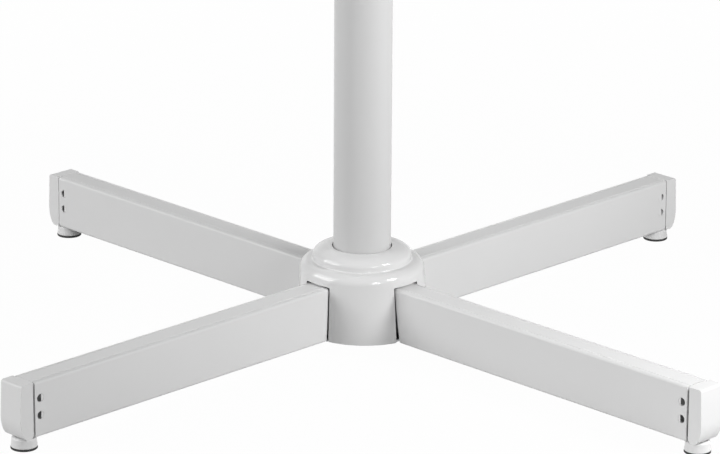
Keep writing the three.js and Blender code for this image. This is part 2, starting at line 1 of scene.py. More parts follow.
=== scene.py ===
# %% [markdown]
# # A rotary clothesline, dressed for its portrait
#
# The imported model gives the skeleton: every tube, cap, pin and foot at its true size, and the
# bodies that move. This lesson builds the skin round it. Each cell makes one kind of piece or
# one finish, so the file can be read, or run, from top to bottom like a notebook.
#
# Lengths are written in millimetres, because that is how such a product is drawn, and the
# helpers turn them into the metres that the frame uses. The camera, the lamps, the floor and
# the insides of node trees are in metres.

# %% Load the frame
import math

import bmesh
import bpy
from mathutils import Matrix, Vector


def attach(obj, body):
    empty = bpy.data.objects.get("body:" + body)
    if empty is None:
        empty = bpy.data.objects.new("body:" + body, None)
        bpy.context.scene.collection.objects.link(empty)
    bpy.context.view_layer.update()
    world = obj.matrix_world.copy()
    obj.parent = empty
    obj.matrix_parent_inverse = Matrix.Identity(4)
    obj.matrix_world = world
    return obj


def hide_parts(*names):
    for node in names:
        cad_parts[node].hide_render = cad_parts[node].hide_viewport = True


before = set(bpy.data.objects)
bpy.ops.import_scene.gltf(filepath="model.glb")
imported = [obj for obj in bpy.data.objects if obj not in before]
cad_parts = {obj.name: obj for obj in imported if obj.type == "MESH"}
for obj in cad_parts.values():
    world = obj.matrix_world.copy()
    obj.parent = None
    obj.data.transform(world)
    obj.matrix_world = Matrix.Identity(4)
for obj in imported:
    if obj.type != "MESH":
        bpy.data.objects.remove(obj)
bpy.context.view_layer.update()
MM = 0.001
SCENE = bpy.context.scene


# %% [markdown]
# ## Where to stand
#
# The base is seen from far away through a long lens, a little from above: the verticals stay
# nearly parallel and the legs spread evenly. The mast runs out of the top of the view, so the
# lens could be shifted up instead, but a plain tilt keeps every other view of the part honest.

# %% Camera
CAMERA_PLACE = Vector((0.0014, -3.521, 1.2670))
CAMERA_YAW = math.radians(-0.054)
CAMERA_TILT = math.radians(-18.34)
CAMERA_ROLL = math.radians(0.33)
CAMERA_LENS = 214.1
HUB = Vector((0.0, 0.0, 0.1))


def camera_matrix(place, yaw, tilt, roll):
    """Looks along +Y, turned by yaw, tilted down by tilt and rolled about the line of sight."""
    forward = Vector((
        math.sin(yaw) * math.cos(tilt),
        math.cos(yaw) * math.cos(tilt),
        math.sin(tilt),
    ))
    level = Vector((math.cos(yaw), -math.sin(yaw), 0.0))
    upright = level.cross(forward)
    right = math.cos(roll) * level + math.sin(roll) * upright
    up = math.cos(roll) * upright - math.sin(roll) * level
    matrix = Matrix((right, up, -forward)).transposed().to_4x4()
    matrix.translation = place
    return matrix


camera_data = bpy.data.cameras.new("camera")
camera_data.sensor_width = 36.0
camera_data.lens = CAMERA_LENS
camera_data.clip_end = 200.0
camera = bpy.data.objects.new("camera", camera_data)
SCENE.collection.objects.link(camera)
camera.matrix_world = camera_matrix(CAMERA_PLACE, CAMERA_YAW, CAMERA_TILT, CAMERA_ROLL)
SCENE.camera = camera
print("camera", round((CAMERA_PLACE - HUB).length, 2), "m from the hub")

# %% [markdown]
# ## The light
#
# The part stands in a white studio. Most of its light comes from a wide, low window on the left,
# so every face that looks left is evenly pale, and a second window above it whitens the tops. A
# softer lamp in front on the right lights the faces that look right. One small lamp hangs close
# to the right front leg: it draws the crisp highlights on the gloss cover, and because it is so
# near, its light falls off along the leg. A faint one behind skims the far left leg's top. The
# world itself adds almost nothing.

# %% Adding nodes


def feed(tree, made, inputs):
    """Fills inputs from values, sockets, nodes by their first output, or lists of these."""
    for key, given in inputs.items():
        for source in given if isinstance(given, list) else [given]:
            if isinstance(source, bpy.types.Node):
                source = source.outputs[0]
            if isinstance(source, bpy.types.NodeSocket):
                tree.links.new(source, made.inputs[key])
            else:
                made.inputs[key].default_value = source


def node(tree, kind, inputs=None, **settings):
    """Adds a node, applies its settings and then fills its inputs."""
    made = tree.nodes.new(kind)
    for key, value in settings.items():
        setattr(made, key, value)
    feed(tree, made, inputs or {})
    return made


def maths(tree, operation, *values):
    """Adds a Math node; its values may be numbers, sockets or nodes."""
    return node(tree, "ShaderNodeMath", dict(enumerate(values)), operation=operation)


def empty_tree(owner):
    """Turns on the nodes of a world or a material, and clears the ones it comes with."""
    owner.use_nodes = True
    owner.node_tree.nodes.clear()
    return owner.node_tree


def grey(level):
    return (level, level, level, 1.0)


# %% World
WORLD_LEVEL = 0.045


def seen_share(tree):
    """1 for rays that show the surroundings, to the camera or in a mirror, and 0 for others."""
    rays = node(tree, "ShaderNodeLightPath").outputs
    mirrored = maths(tree, "MAXIMUM", rays["Is Camera Ray"], rays["Is Glossy Ray"])
    return maths(tree, "MAXIMUM", mirrored, rays["Is Transmission Ray"])


def build_world(level):
    """A dim even fill that shows as plain white to the camera and in reflections."""
    world = bpy.data.worlds.new("studio")
    tree = empty_tree(world)
    fill, seen = (
        node(tree, "ShaderNodeBackground", {"Color": grey(1.0), "Strength": strength})
        for strength in (level, 1.0))
    mix = node(tree, "ShaderNodeMixShader", {"Fac": seen_share(tree), 1: fill, 2: seen})
    node(tree, "ShaderNodeOutputWorld", {"Surface": mix})
    return world


SCENE.world = build_world(WORLD_LEVEL)
SCENE.view_settings.view_transform = "Standard"
print("world level", WORLD_LEVEL)

# %% Lamps


def soft_light(name, place, size, power):
    """A rectangular area lamp aimed at the hub."""
    data = bpy.data.lights.new(name, "AREA")
    data.shape = "RECTANGLE"
    data.size, data.size_y = size
    data.energy = power
    lamp = bpy.data.objects.new(name, data)
    SCENE.collection.objects.link(lamp)
    lamp.location = place
    aim = HUB - Vector(place)
    lamp.rotation_euler = aim.to_track_quat("-Z", "Y").to_euler()
    return lamp


LAMPS = [
    soft_light("window_low", (-4.2, -0.9, 1.5), (3.6, 1.5), 102.0),
    soft_light("window_high", (-2.37, -0.42, 1.86), (2.4, 1.0), 25.0),
    soft_light("front_right", (1.2, -2.4, 1.0), (0.8, 0.8), 19.0),
    soft_light("key", (0.7, -0.4, 0.56), (0.24, 0.24), 5.7),
    soft_light("rim", (-0.41, 1.55, 0.45), (0.9, 0.5), 0.7),
]
print("lamps:", [lamp.name for lamp in LAMPS])

# %% [markdown]
# ## The floor
#
# A plain floor that the camera sees as white paper, yet that still takes the part's shadow and
# throws light back up under the legs. Nearly all that the camera sees is its own glow, at the
# level of white and no more, and the rest is lit paint, so shadows stay soft and pale. The glow
# takes over completely some way out, where the lamps no longer reach.

# %% Floor
FLOOR_PAINT, FLOOR_HALF = 0.6, 60.0
GLOW_NEAR, GLOW_FAR = 0.98, 1.0
NEAR, FAR = 0.45, 1.6


def floor_material():
    """Lit paint under a glow that only shows, and whose share grows from NEAR to FAR metres."""
    material = bpy.data.materials.new("white_floor")
    tree = empty_tree(material)
    place = node(tree, "ShaderNodeTexCoord").outputs["Object"]
    distance = node(tree, "ShaderNodeVectorMath", {0: place}, operation="LENGTH")
    share = node(tree, "ShaderNodeMapRange", {
        "Value": distance.outputs["Value"], "From Min": NEAR, "From Max": FAR,
        "To Min": GLOW_NEAR, "To Max": GLOW_FAR})
    mix = node(tree, "ShaderNodeMixShader", {
        "Fac": maths(tree, "MULTIPLY", share, seen_share(tree)),
        1: node(tree, "ShaderNodeBsdfDiffuse", {"Color": grey(FLOOR_PAINT)}),
        2: node(tree, "ShaderNodeEmission")})
    node(tree, "ShaderNodeOutputMaterial", {"Surface": mix})
    return material


floor_corners = [
    (x * FLOOR_HALF, y * FLOOR_HALF, 0) for x, y in ((-1, -1), (1, -1), (1, 1), (-1, 1))]
floor_mesh = bpy.data.meshes.new("floor")
floor_mesh.from_pydata(floor_corners, [], [(0, 1, 2, 3)])
floor = bpy.data.objects.new("floor", floor_mesh)
SCENE.collection.objects.link(floor)
floor.data.materials.append(floor_material())
print("floor side", 2 * FLOOR_HALF, "m")

# %% [markdown]
# ## Shared effects as node groups
#
# Every finish here is some base colour with three small imperfections: a cloudy change of tone,
# a patchy gloss where hands and cloths have been, and a fine bump. One group makes all three
# from noise on Object coordinates, so the pattern has the same size on every piece, and each
# material sets its own amounts.

# %% Node group: worked surface


def add_sockets(group, names, direction, kind="NodeSocketFloat"):
    for name in names:
        group.interface.new_socket(name, in_out=direction, socket_type=kind)


def worked_surface_group():
    """Outputs a tone factor, a roughness and a bump height from noise at three sizes."""
    group = bpy.data.node_groups.new("worked_surface", "ShaderNodeTree")
    add_sockets(group, ["Vector"], "INPUT", "NodeSocketVector")
    add_sockets(group, ["Cloud Scale", "Smudge Scale", "Grain Scale", "Tone Spread",
                        "Roughness", "Roughness Spread"], "INPUT")
    add_sockets(group, ["Tone", "Roughness", "Height"], "OUTPUT")
    start = node(group, "NodeGroupInput").outputs

    def noise(scale, detail, roughness):
        return node(group, "ShaderNodeTexNoise", {
            "Vector": start["Vector"], "Scale": start[scale], "Detail": detail,
            "Roughness": roughness})

    def around(value, centre, spread):
        """centre + (value - 0.5) * spread."""
        shifted = maths(group, "SUBTRACT", value, 0.5)
        return maths(group, "MULTIPLY_ADD", shifted, spread, centre)

    node(group, "NodeGroupOutput", {
        "Tone": around(noise("Cloud Scale", 3.0, 0.5), 1.0, start["Tone Spread"]),
        "Roughness": around(noise("Smudge Scale", 5.0, 0.62), start["Roughness"],
                            start["Roughness Spread"]),
        "Height": noise("Grain Scale", 2.0, 0.5)})
    return group


WORKED_SURFACE = worked_surface_group()
print("group", WORKED_SURFACE.name, "with", len(WORKED_SURFACE.nodes), "nodes")

# %% [markdown]
# ## One recipe, many finishes
#
# A finish is a Principled shader fed by the worked-surface group. The recipe takes the numbers
# that make one finish differ from another: colour, gloss, grain size in millimetres and how
# deep the grain is. Constant values, such as whether it is metal, are set on the shader's own
# sockets.

# %% Material recipe
CLOUD_SCALE, SMUDGE_SCALE = 9.0, 34.0
METRE_MM = 1000.0
PULLED_OUT = (0.02, 1.0, 1.0)


def finish(name, colour, roughness, *, spread=0.08, tone=0.03, grain_mm=1.0, depth_mm=0.004,
           metallic=0.0, specular=0.5, stretch=None):
    """A Principled material whose tone, roughness and bump come from the shared group.

    stretch names a UV map to read instead of Object coordinates, for finishes that are drawn
    along a bar: the noise is then pulled out along the map's first axis.
    """
    material = bpy.data.materials.new(name)
    material.use_nodes = True
    tree = material.node_tree
    if stretch:
        drawn = node(tree, "ShaderNodeUVMap", uv_map=stretch)
        place = node(tree, "ShaderNodeMapping", {"Vector": drawn, "Scale": PULLED_OUT})
    else:
        place = node(tree, "ShaderNodeTexCoord").outputs["Object"]
    surface = node(tree, "ShaderNodeGroup", {
        "Vector": place, "Cloud Scale": CLOUD_SCALE, "Smudge Scale": SMUDGE_SCALE,
        "Grain Scale": METRE_MM / grain_mm, "Tone Spread": tone, "Roughness": roughness,
        "Roughness Spread": spread}, node_tree=WORKED_SURFACE)
    tint = node(tree, "ShaderNodeMix", {
        "Factor": 1.0, "A": colour, "B": surface.outputs["Tone"]},
        data_type="RGBA", blend_type="MULTIPLY")
    bump = node(tree, "ShaderNodeBump", {
        "Strength": 1.0, "Distance": depth_mm * MM, "Height": surface.outputs["Height"]})
    feed(tree, tree.nodes["Principled BSDF"], {
        "Metallic": metallic, "Specular IOR Level": specular,
        "Base Color": tint.outputs["Result"], "Roughness": surface.outputs["Roughness"],
        "Normal": bump})
    return material


# %% [markdown]
# ## The finishes
#
# The tubes are powder painted, which leaves a fine orange peel. The legs are a light grey; the
# mast is a darker grey that is partly its own paint and partly painted shade, set dark enough to
# stand in for the shade that falls on it. The hub cover is a gloss moulding of the legs' grey,
# the caps and feet a satin one with a fine mould grain. The arms and struts are drawn aluminium,
# whose faint lines run along the bar.

# %% Finishes
PAINT = finish("powder_paint", grey(0.70), 0.33, grain_mm=1.6, depth_mm=0.006, specular=0.2)
# The mast's darker grey is partly painted shade: it is the legs' paint, made darker to stand in
# for the shade on the mast.
SHADED_POST = finish("shaded_post_paint", grey(0.605), 0.34, grain_mm=1.6, depth_mm=0.003, specular=0.25,
              spread=0.04, tone=0.02)
GLOSS = finish("gloss_moulding", grey(0.71), 0.13, spread=0.05, grain_mm=5.0, depth_mm=0.01,
               tone=0.015)
SATIN = finish("satin_moulding", grey(0.71), 0.36, grain_mm=0.7, depth_mm=0.005, specular=0.3)
RUBBER = finish("pad_rubber", grey(0.02), 0.75, grain_mm=0.6, depth_mm=0.02, tone=0.3)
CAST = finish("cast_aluminium", (0.50, 0.51, 0.52, 1.0), 0.48, grain_mm=1.2, depth_mm=0.03,
              metallic=1.0)
DRAWN = finish("drawn_aluminium", (0.47, 0.48, 0.49, 1.0), 0.40, grain_mm=0.35,
               depth_mm=0.004, metallic=1.0, stretch="run")
ZINC = finish("zinc_plate", (0.50, 0.51, 0.53, 1.0), 0.32, grain_mm=0.8, depth_mm=0.006,
              metallic=1.0, tone=0.1)
BEARING = finish("bearing_plastic", (0.045, 0.045, 0.05, 1.0), 0.5, grain_mm=0.8)
GRIP = finish("grip_plastic", (0.085, 0.088, 0.095, 1.0), 0.46, grain_mm=0.5, depth_mm=0.02)
print("finishes:", [m.name for m in bpy.data.materials if m.use_nodes])

# %% [markdown]
# ## Shop tools
#
# Four operations make nearly every part of such a product: turning a profile on a lathe,
# running a section along a bar, cutting one solid with another, and breaking the sharp edges.
# The helpers below do these, and loft the few forms that change along their length. A piece
# that comes in fours is drawn along +X, with the mast's axis as Z, and turned to its quarter
# at the end.

# %% Outlines


def arc(cx, cy, radius, start, end, steps):
    """Points on an arc, from one angle to another in degrees, both ends included."""
    angles = [math.radians(start + (end - start) * i / steps) for i in range(steps + 1)]
    return [(cx + radius * math.cos(a), cy + radius * math.sin(a)) for a in angles]


def rounded_rectangle(width, height, radius, steps=5, middle=0.0):
    """Points round a rectangle centred at (0, middle), with round corners."""
    w, h = width / 2 - radius, height / 2 - radius
    corners = ((w, h, 0), (-w, h, 90), (-w, -h, 180), (w, -h, 270))
    points = [p for x, y, at in corners for p in arc(x, y, radius, at, at + 90, steps)]
    return [(x, y + middle) for x, y in points]


print("points round a rectangle:", len(rounded_rectangle(2, 2, 0.5)))

# %% Turned and lofted solids


def new_object(name, bm):
    """Turns a bmesh in millimetres into an object in metres with clean outward faces."""
    bmesh.ops.remove_doubles(bm, verts=bm.verts, dist=1e-4)
    bmesh.ops.recalc_face_normals(bm, faces=bm.faces)
    bmesh.ops.scale(bm, vec=(MM, MM, MM), verts=bm.verts)
    mesh = bpy.data.meshes.new(name)
    bm.to_mesh(mesh)
    bm.free()
    made = bpy.data.objects.new(name, mesh)
    SCENE.collection.objects.link(made)
    return made


def turned(name, profile, segments=96):
    """Turns (radius, height) points about Z. The profile closes on itself or on the axis."""
    bm = bmesh.new()
    rings = []
    for radius, height in profile:
        if radius < 1e-6:
            rings.append([bm.verts.new((0, 0, height))] * segments)
            continue
        angles = [2 * math.pi * i / segments for i in range(segments)]
        rings.append([
            bm.verts.new((radius * math.cos(a), radius * math.sin(a), height)) for a in angles
        ])
    open_ended = profile[0][0] < 1e-6 and profile[-1][0] < 1e-6
    pairs = list(zip(rings, rings[1:]))
    if not open_ended:
        pairs.append((rings[-1], rings[0]))
    for low, high in pairs:
        for i in range(segments):
            j = (i + 1) % segments
            corners = list(dict.fromkeys((low[i], low[j], high[j], high[i])))
            if len(corners) > 2:
                bm.faces.new(corners)
    return new_object(name, bm)


def lofted(name, rings):
    """Joins rings of the same number of points, each to the next, and closes both ends."""
    bm = bmesh.new()
    loops = [[bm.verts.new(point) for point in ring] for ring in rings]
    for low, high in zip(loops, loops[1:]):
        for i in range(len(low)):
            j = (i + 1) % len(low)
            bm.faces.new((low[i], low[j], high[j], high[i]))
    bm.faces.new(list(reversed(loops[0])))
    bm.faces.new(loops[-1])
    return new_object(name, bm)

print("helpers: new_object, turned, lofted")

# %% Sections run along a bar


def run_section(name, outline, start, end, hole=None, place=lambda u, v, s: (s, u, v)):
    """Runs a closed (u, v) outline, with an optional hole, from one station to another.

    The walls get a UV map, "run", that holds metres along the bar and round it.
    """
    bm = bmesh.new()
    uv = bm.loops.layers.uv.new("run")
    loops = []
    for drawn in filter(None, (outline, hole)):
        points = [a for a, b in zip(drawn, drawn[1:] + drawn[:1]) if math.dist(a, b) > 1e-6]
        girth = [0.0]
        for a, b in zip(points, points[1:] + points[:1]):
            girth.append(girth[-1] + math.dist(a, b))
        ends = [[bm.verts.new(place(u, v, s)) for u, v in points] for s in (start, end)]
        for i in range(len(points)):
            j = (i + 1) % len(points)
            face = bm.faces.new((ends[0][i], ends[0][j], ends[1][j], ends[1][i]))
            corners = ((start, girth[i]), (start, girth[i + 1]),
                       (end, girth[i + 1]), (end, girth[i]))
            for loop, (along, around) in zip(face.loops, corners):
                loop[uv].uv = (along * MM, around * MM)
        loops.append(ends)
    for rims in zip(*loops):
        edges = [bm.edges.get((rim[i], rim[(i + 1) % len(rim)]))
                 for rim in rims for i in range(len(rim))]
        bmesh.ops.triangle_fill(bm, use_beauty=True, edges=edges)
    return new_object(name, bm)


def plate(name, outline, low, high):
    """An (x, z) outline with its thickness across Y."""
    return run_section(name, outline, low, high, place=lambda u, v, s: (u, s, v))


def rod(name, radius, start, end, centre, axis="y", segments=32):
    """A plain round bar along one axis; centre gives the other two coordinates in order."""
    circle = arc(0, 0, radius, 0, 360, segments)[:-1]
    a, b = centre
    places = {
        "x": lambda u, v, s: (s, a + u, b + v),
        "y": lambda u, v, s: (a + u, s, b + v),
        "z": lambda u, v, s: (a + u, b + v, s),
    }
    return run_section(name, circle, start, end, place=places[axis])

print("helpers: run_section, plate, rod")

# %% Cutting and joining


def settle(obj):
    """Replaces an object's mesh with the result of its modifiers."""
    graph = bpy.context.evaluated_depsgraph_get()
    mesh = bpy.data.meshes.new_from_object(obj.evaluated_get(graph))
    obj.modifiers.clear()
    old = obj.data
    obj.data = mesh
    bpy.data.meshes.remove(old)
    return obj


def combine(obj, operation, *others):
    """Booleans obj with each other object in turn, and throws the others away."""
    for other in others:
        step = obj.modifiers.new("step", "BOOLEAN")
        step.operation = operation
        step.solver = "EXACT"
        step.object = other
        settle(obj)
        bpy.data.objects.remove(other)
    return obj


def cut(obj, *tools):
    return combine(obj, "DIFFERENCE", *tools)


def join(obj, *others):
    return combine(obj, "UNION", *others)


def common(obj, *others):
    return combine(obj, "INTERSECT", *others)

print("helpers: settle, cut, join, common")

# %% Breaking edges and shading


def break_edges(obj, width, segments=2, angle=35.0):
    """Rounds every edge sharper than the angle, by a width in millimetres."""
    step = obj.modifiers.new("edges", "BEVEL")
    step.width = width * MM
    step.segments = segments
    step.limit_method = "ANGLE"
    step.angle_limit = math.radians(angle)
    step.miter_outer = "MITER_ARC"
    return settle(obj)


def welded(obj, gap=0.02):
    """Joins points closer than a gap in millimetres, so that no face is left without area."""
    mesh = bmesh.new()
    mesh.from_mesh(obj.data)
    bmesh.ops.remove_doubles(mesh, verts=mesh.verts, dist=gap * MM)
    mesh.to_mesh(obj.data)
    mesh.free()
    return obj


def smooth(obj, angle=32.0):
    """Smooth shading that keeps real corners crisp and large flats truly flat."""
    welded(obj, gap=0.004)
    for polygon in obj.data.polygons:
        polygon.use_smooth = True
    obj.data.set_sharp_from_angle(angle=math.radians(angle))
    step = obj.modifiers.new("normals", "WEIGHTED_NORMAL")
    step.keep_sharp = True
    return settle(obj)


print("helpers: break_edges, welded, smooth")

# %% [markdown]
# ## Handing a piece to the frame
#
# A finished piece rides on the body that carries it, takes its finish, and stands in for the
# plain solid of the same part, which is hidden. What comes in fours is modelled once and copied
# to each quarter, apart from the legs and their caps, which differ a little from one to the
# next.

# %% Placing pieces
QUARTERS = {"back_right": 45.0, "back_left": 135.0, "front_left": 225.0, "front_right": 315.0}
pieces_made = []


def shift(x=0.0, y=0.0, z=0.0):
    """A move by millimetres."""
    return Matrix.Translation((x * MM, y * MM, z * MM))


def turn(degrees, axis="Z"):
    """A turn about one of the frame's axes."""
    return Matrix.Rotation(math.radians(degrees), 4, axis)


def moved(obj, matrix):
    """Puts a placement into the mesh itself, so that the object stays at the origin."""
    obj.data.transform(matrix)
    obj.data.update()
    return obj


def copied(master, name):
    """A copy with a mesh of its own."""
    copy = master.copy()
    copy.data = master.data.copy()
    copy.name = name
    SCENE.collection.objects.link(copy)
    return copy


print("quarters:", QUARTERS)

# %% Handing pieces over


def hand_over(obj, material, body, slot, *nodes):
    """Gives a piece its finish and its body, and hides the solids that it replaces. The slot
    argument is not used.
    """
    obj.data.materials.clear()
    obj.data.materials.append(material)
    for polygon in obj.data.polygons:
        polygon.material_index = 0
    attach(obj, body)
    if nodes:
        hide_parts(*nodes)
    pieces_made.append(obj.name)
    return obj


def four_times(master, label, material, body, slot, solid=None, place=Matrix.Identity(4)):
    """Hands over a copy of a master at each quarter, whose name fills the {} in other names."""
    for quarter, degrees in QUARTERS.items():
        piece = moved(copied(master, f"{label}_{quarter}"), turn(degrees) @ place)
        solids = [solid.format(quarter)] if solid else []
        hand_over(piece, material, body.format(quarter), slot, *solids)
    bpy.data.objects.remove(master)
    print(label, "made for", len(QUARTERS), "quarters")


# %% [markdown]
# ## The leg tubes
#
# Each leg is a rectangular tube, 48.3 mm high and 25 mm wide, with rounded corners and a
# shallow groove beside each long edge that stiffens the narrow wall and throws a thin line of
# shade. It could be a bevelled box, but the grooves and the open end need the true section, so
# the section is drawn once and run along the leg. The hub end is sawn at a slight lean, a
# little different on each leg, and dressed round, which catches the light beside the dark slot.
# Then the snap holes, the notch for the foot's screw and the bolt hole are cut.

# %% Leg section
LEG_LOW, LEG_HIGH = 10.8, 59.1
LEG_HEIGHT, LEG_MIDDLE = LEG_HIGH - LEG_LOW, (LEG_LOW + LEG_HIGH) / 2
LEG_WIDTH, LEG_WALL, LEG_CORNER = 25.0, 1.8, 2.6
GROOVE = [(-0.9, 0.0), (-0.6, 0.35), (0.0, 0.8), (0.6, 0.35), (0.9, 0.0)]
GROOVE_IN, FLAT_IN, WALL_CROWN = 3.6, 5.2, 0.12


def leg_outline():
    """The outside of the tube's section as (y, z), with two grooves in each narrow wall."""
    half_w, half_h = LEG_WIDTH / 2, LEG_HEIGHT / 2

    def wall(sign):
        """Across the top (sign 1, from +y to -y) or the bottom (from -y to +y)."""
        points = []
        for side in (sign, -sign):
            centre = side * (half_w - GROOVE_IN)
            points += [(centre - sign * t, sign * (half_h - deep)) for t, deep in GROOVE]
            if side == sign:
                points += [(side * k * (half_w - FLAT_IN), sign * (half_h - WALL_CROWN * k * k))
                           for k in (0.8, 0.4, 0.0, -0.4, -0.8)]
        return points

    def corner(sy, sz, start):
        return arc(sy * (half_w - LEG_CORNER), sz * (half_h - LEG_CORNER), LEG_CORNER,
                   start, start + 90, 6)

    outline = corner(1, 1, 0) + wall(1) + corner(-1, 1, 90)
    outline += corner(-1, -1, 180) + wall(-1) + corner(1, -1, 270)
    return [(y, z + LEG_MIDDLE) for y, z in outline]


LEG_OUTLINE = leg_outline()
LEG_INSIDE = rounded_rectangle(LEG_WIDTH - 2 * LEG_WALL, LEG_HEIGHT - 2 * LEG_WALL - 0.4, 1.2,
                               3, LEG_MIDDLE)
print("leg section drawn with", len(LEG_OUTLINE), "points")

# %% Leg tubes
SNAP_X, SNAP_HEIGHTS, SNAP_R = 379.3, (29.6, 44.4), 3.5
FOOT_X, STEM_R = 387.0, 4.0
BOLT_X, BOLT_HOLE_R = 72.0, 3.3
BLANK_START, SAW_START, SAW_LONG, SPARE, HALF_ACROSS = 50.0, 40.0, 20.0, 5.0, 20.0
SAWN = {"back_right": (53.3, 56.1, 386.2), "back_left": (53.3, 56.1, 386.4),
        "front_left": (52.9, 55.0, 385.1), "front_right": (51.9, 59.0, 384.7)}


def saw_block(start, end):
    """A cutter that takes away all of a leg between two distances from the mast's axis."""
    return run_section("saw", [(-30, 0), (30, 0), (30, 90), (-30, 90)], start, end)


def sawn_leg(at_top, at_bottom, at_end):
    """A leg along +X: where its hub end is sawn at the top and below, and its far end."""
    leg = run_section("leg", LEG_OUTLINE, BLANK_START, at_end + SPARE, hole=LEG_INSIDE)
    low, high = LEG_LOW - SPARE, LEG_HIGH + SPARE
    lean = (at_bottom - at_top) / LEG_HEIGHT
    cut(leg, plate("saw", [
        (SAW_START, high), (SAW_START, low), (at_bottom + SPARE * lean, low),
        (at_top - SPARE * lean, high)], -HALF_ACROSS, HALF_ACROSS))
    break_edges(leg, 0.9, 4, angle=50.0)
    cut(leg, saw_block(at_end, at_end + SAW_LONG))
    cut(leg,
        *[rod("snap_hole", SNAP_R, -HALF_ACROSS, HALF_ACROSS, (SNAP_X, z), segments=40)
          for z in SNAP_HEIGHTS],
        rod("stem_notch", STEM_R + 1.2, low, LEG_LOW + SPARE, (FOOT_X - 1, 0), "z"),
        rod("bolt_hole", BOLT_HOLE_R, low, LEG_LOW + SPARE, (BOLT_X, 0), "z"))
    return smooth(break_edges(welded(leg), 0.2, 2, angle=60.0))


for quarter, degrees in QUARTERS.items():
    leg = moved(sawn_leg(*SAWN[quarter]), turn(degrees))
    leg.name = f"painted_leg_{quarter}"
    hand_over(leg, PAINT, "base", "painted_tube", f"leg_tube_{quarter}")
print("legs:", pieces_made[-4:])

# %% [markdown]
# ## The end caps
#
# A moulded cap closes each leg: a flange as large as the tube, its outer face leaning out and
# then curling in towards the foot, and a plug that snaps into two round holes a side with small
# barbs. The flange stands a little off the tube, and a tab on top closes the gap where it would
# catch rain. It is cut from a plate of the side outline, whose rims are rounded generously, and
# sliced flat where it meets the tube. The plug is open behind the barbs, so they can spring in,
# and how far the barbs fill their holes differs a little from cap to cap.

# %% End cap flange
CAP_FACE, CAP_END, CAP_LEAN = 387.0, 400.7, 1.2
CAP_LOW, CAP_START = LEG_LOW + 0.1, CAP_FACE - 12
TOE_R, TOP_R = 4.0, 2.2
CURL = [(-7.6, 0.0), (-6.2, 0.45), (-4.8, 1.45), (-3.7, 2.7), (-2.8, 4.2), (-2.0, 5.9),
        (-1.3, 7.8), (-0.7, 10.1), (-0.3, 12.5), (-0.07, 15.0), (0.0, 17.5)]

cap_side = [
    (CAP_START, CAP_LOW + TOE_R), *arc(CAP_FACE + TOE_R, CAP_LOW + TOE_R, TOE_R, 180, 270, 7),
    *[(CAP_END + x, CAP_LOW + z) for x, z in CURL],
    *arc(CAP_END - CAP_LEAN - TOP_R, LEG_HIGH - TOP_R, TOP_R, 2, 90, 7),
    (CAP_START, LEG_HIGH),
]
flange = plate("cap", cap_side, -LEG_WIDTH / 2, LEG_WIDTH / 2)
break_edges(flange, 2.3, 6, angle=40.0)
cut(flange, saw_block(CAP_FACE - SAW_LONG, CAP_FACE))
break_edges(flange, 0.9, 3, angle=50.0)
print("flange faces:", len(flange.data.polygons))

# %% End cap plug, tab and barbs
PLUG_WIDTH = LEG_WIDTH - 2 * LEG_WALL - 0.6
PLUG_START, PLUG_END = 352.0, CAP_FACE + 3
TAB_START, TAB_HALF, TAB_LOW, TAB_HIGH = 385.3, 9.0, LEG_HIGH - 4, LEG_HIGH - 0.2
BARB_R, BARB_HALF = SNAP_R - 0.12, LEG_WIDTH / 2 - 0.08
plug_outline = rounded_rectangle(PLUG_WIDTH, LEG_HEIGHT - 2 * LEG_WALL - 1.2, 1.2, 3, LEG_MIDDLE)
plug = run_section("plug", plug_outline, PLUG_START, PLUG_END)
tab = run_section("tab", [(-TAB_HALF, TAB_LOW), (TAB_HALF, TAB_LOW), (TAB_HALF, TAB_HIGH),
                          (-TAB_HALF, TAB_HIGH)], TAB_START, PLUG_END)
barbs = [rod("barb", BARB_R, -BARB_HALF, BARB_HALF, (SNAP_X, z), segments=40)
         for z in SNAP_HEIGHTS]
join(flange, plug, tab, *barbs)
print("unrelieved cap faces:", len(flange.data.polygons))

# %% Four end caps
EDGE, UNDERCUT, RELIEF_IN = LEG_WIDTH / 2 + 1, 13.0, 4.5
BARB_END = {"back_right": 2.0, "back_left": 1.0, "front_left": 0.3, "front_right": 0.0}


def relieved_cap(quarter, barb_end):
    """A cap with its plug opened behind barbs that end this far past their holes' centres."""
    cap = copied(flange, f"moulded_cap_{quarter}")
    start = SNAP_X + barb_end
    relief = [(start, EDGE), (start - UNDERCUT, EDGE - UNDERCUT),
              (start - UNDERCUT, UNDERCUT - EDGE), (start, -EDGE),
              (CAP_FACE, -EDGE), (CAP_FACE, EDGE)]
    cut(cap,
        run_section("relief", relief, LEG_LOW + RELIEF_IN, LEG_HIGH - RELIEF_IN,
                    place=lambda u, v, s: (u, v, s)),
        rod("stem_bore", STEM_R + 0.3, 0, 38, (FOOT_X, 0), "z", 40))
    return smooth(welded(cap))


for quarter, degrees in QUARTERS.items():
    cap = moved(relieved_cap(quarter, BARB_END[quarter]), turn(degrees))
    hand_over(cap, SATIN, "base", "light_plastic", f"end_cap_{quarter}")
bpy.data.objects.remove(flange)
print("caps:", pieces_made[-4:])

# %% [markdown]
# ## The screw feet
#
# A foot is a round knob, a little wider at its base, on a threaded stem that winds it up and
# down, with a black rubber pad pressed under it. The knob and pad are turned on the lathe. The
# thread is a rule: the radius rises and falls once for every pitch along a helix, so it is
# made by moving each point of a fine cylinder in or out.

# %% Threaded stems


def threaded_rod(name, radius, depth, pitch, low, high, around=36, per_turn=8):
    """A capped round bar about Z whose radius follows a helical thread, faded at both ends."""
    steps = int((high - low) / pitch * per_turn)
    chamfer = 0.25
    rings = []
    for k in range(steps + 1):
        z = low + (high - low) * k / steps
        fade = min(1.0, (z - low) / pitch, (high - z) / pitch)
        ring = []
        for i in range(around):
            angle = 2 * math.pi * i / around
            phase = (z / pitch - i / around) % 1.0
            tooth = abs(2 * phase - 1)
            r = radius - depth * (1 - tooth * fade) * fade - chamfer * (1 - fade)
            ring.append((r * math.cos(angle), r * math.sin(angle), z))
        rings.append(ring)
    return lofted(name, rings)


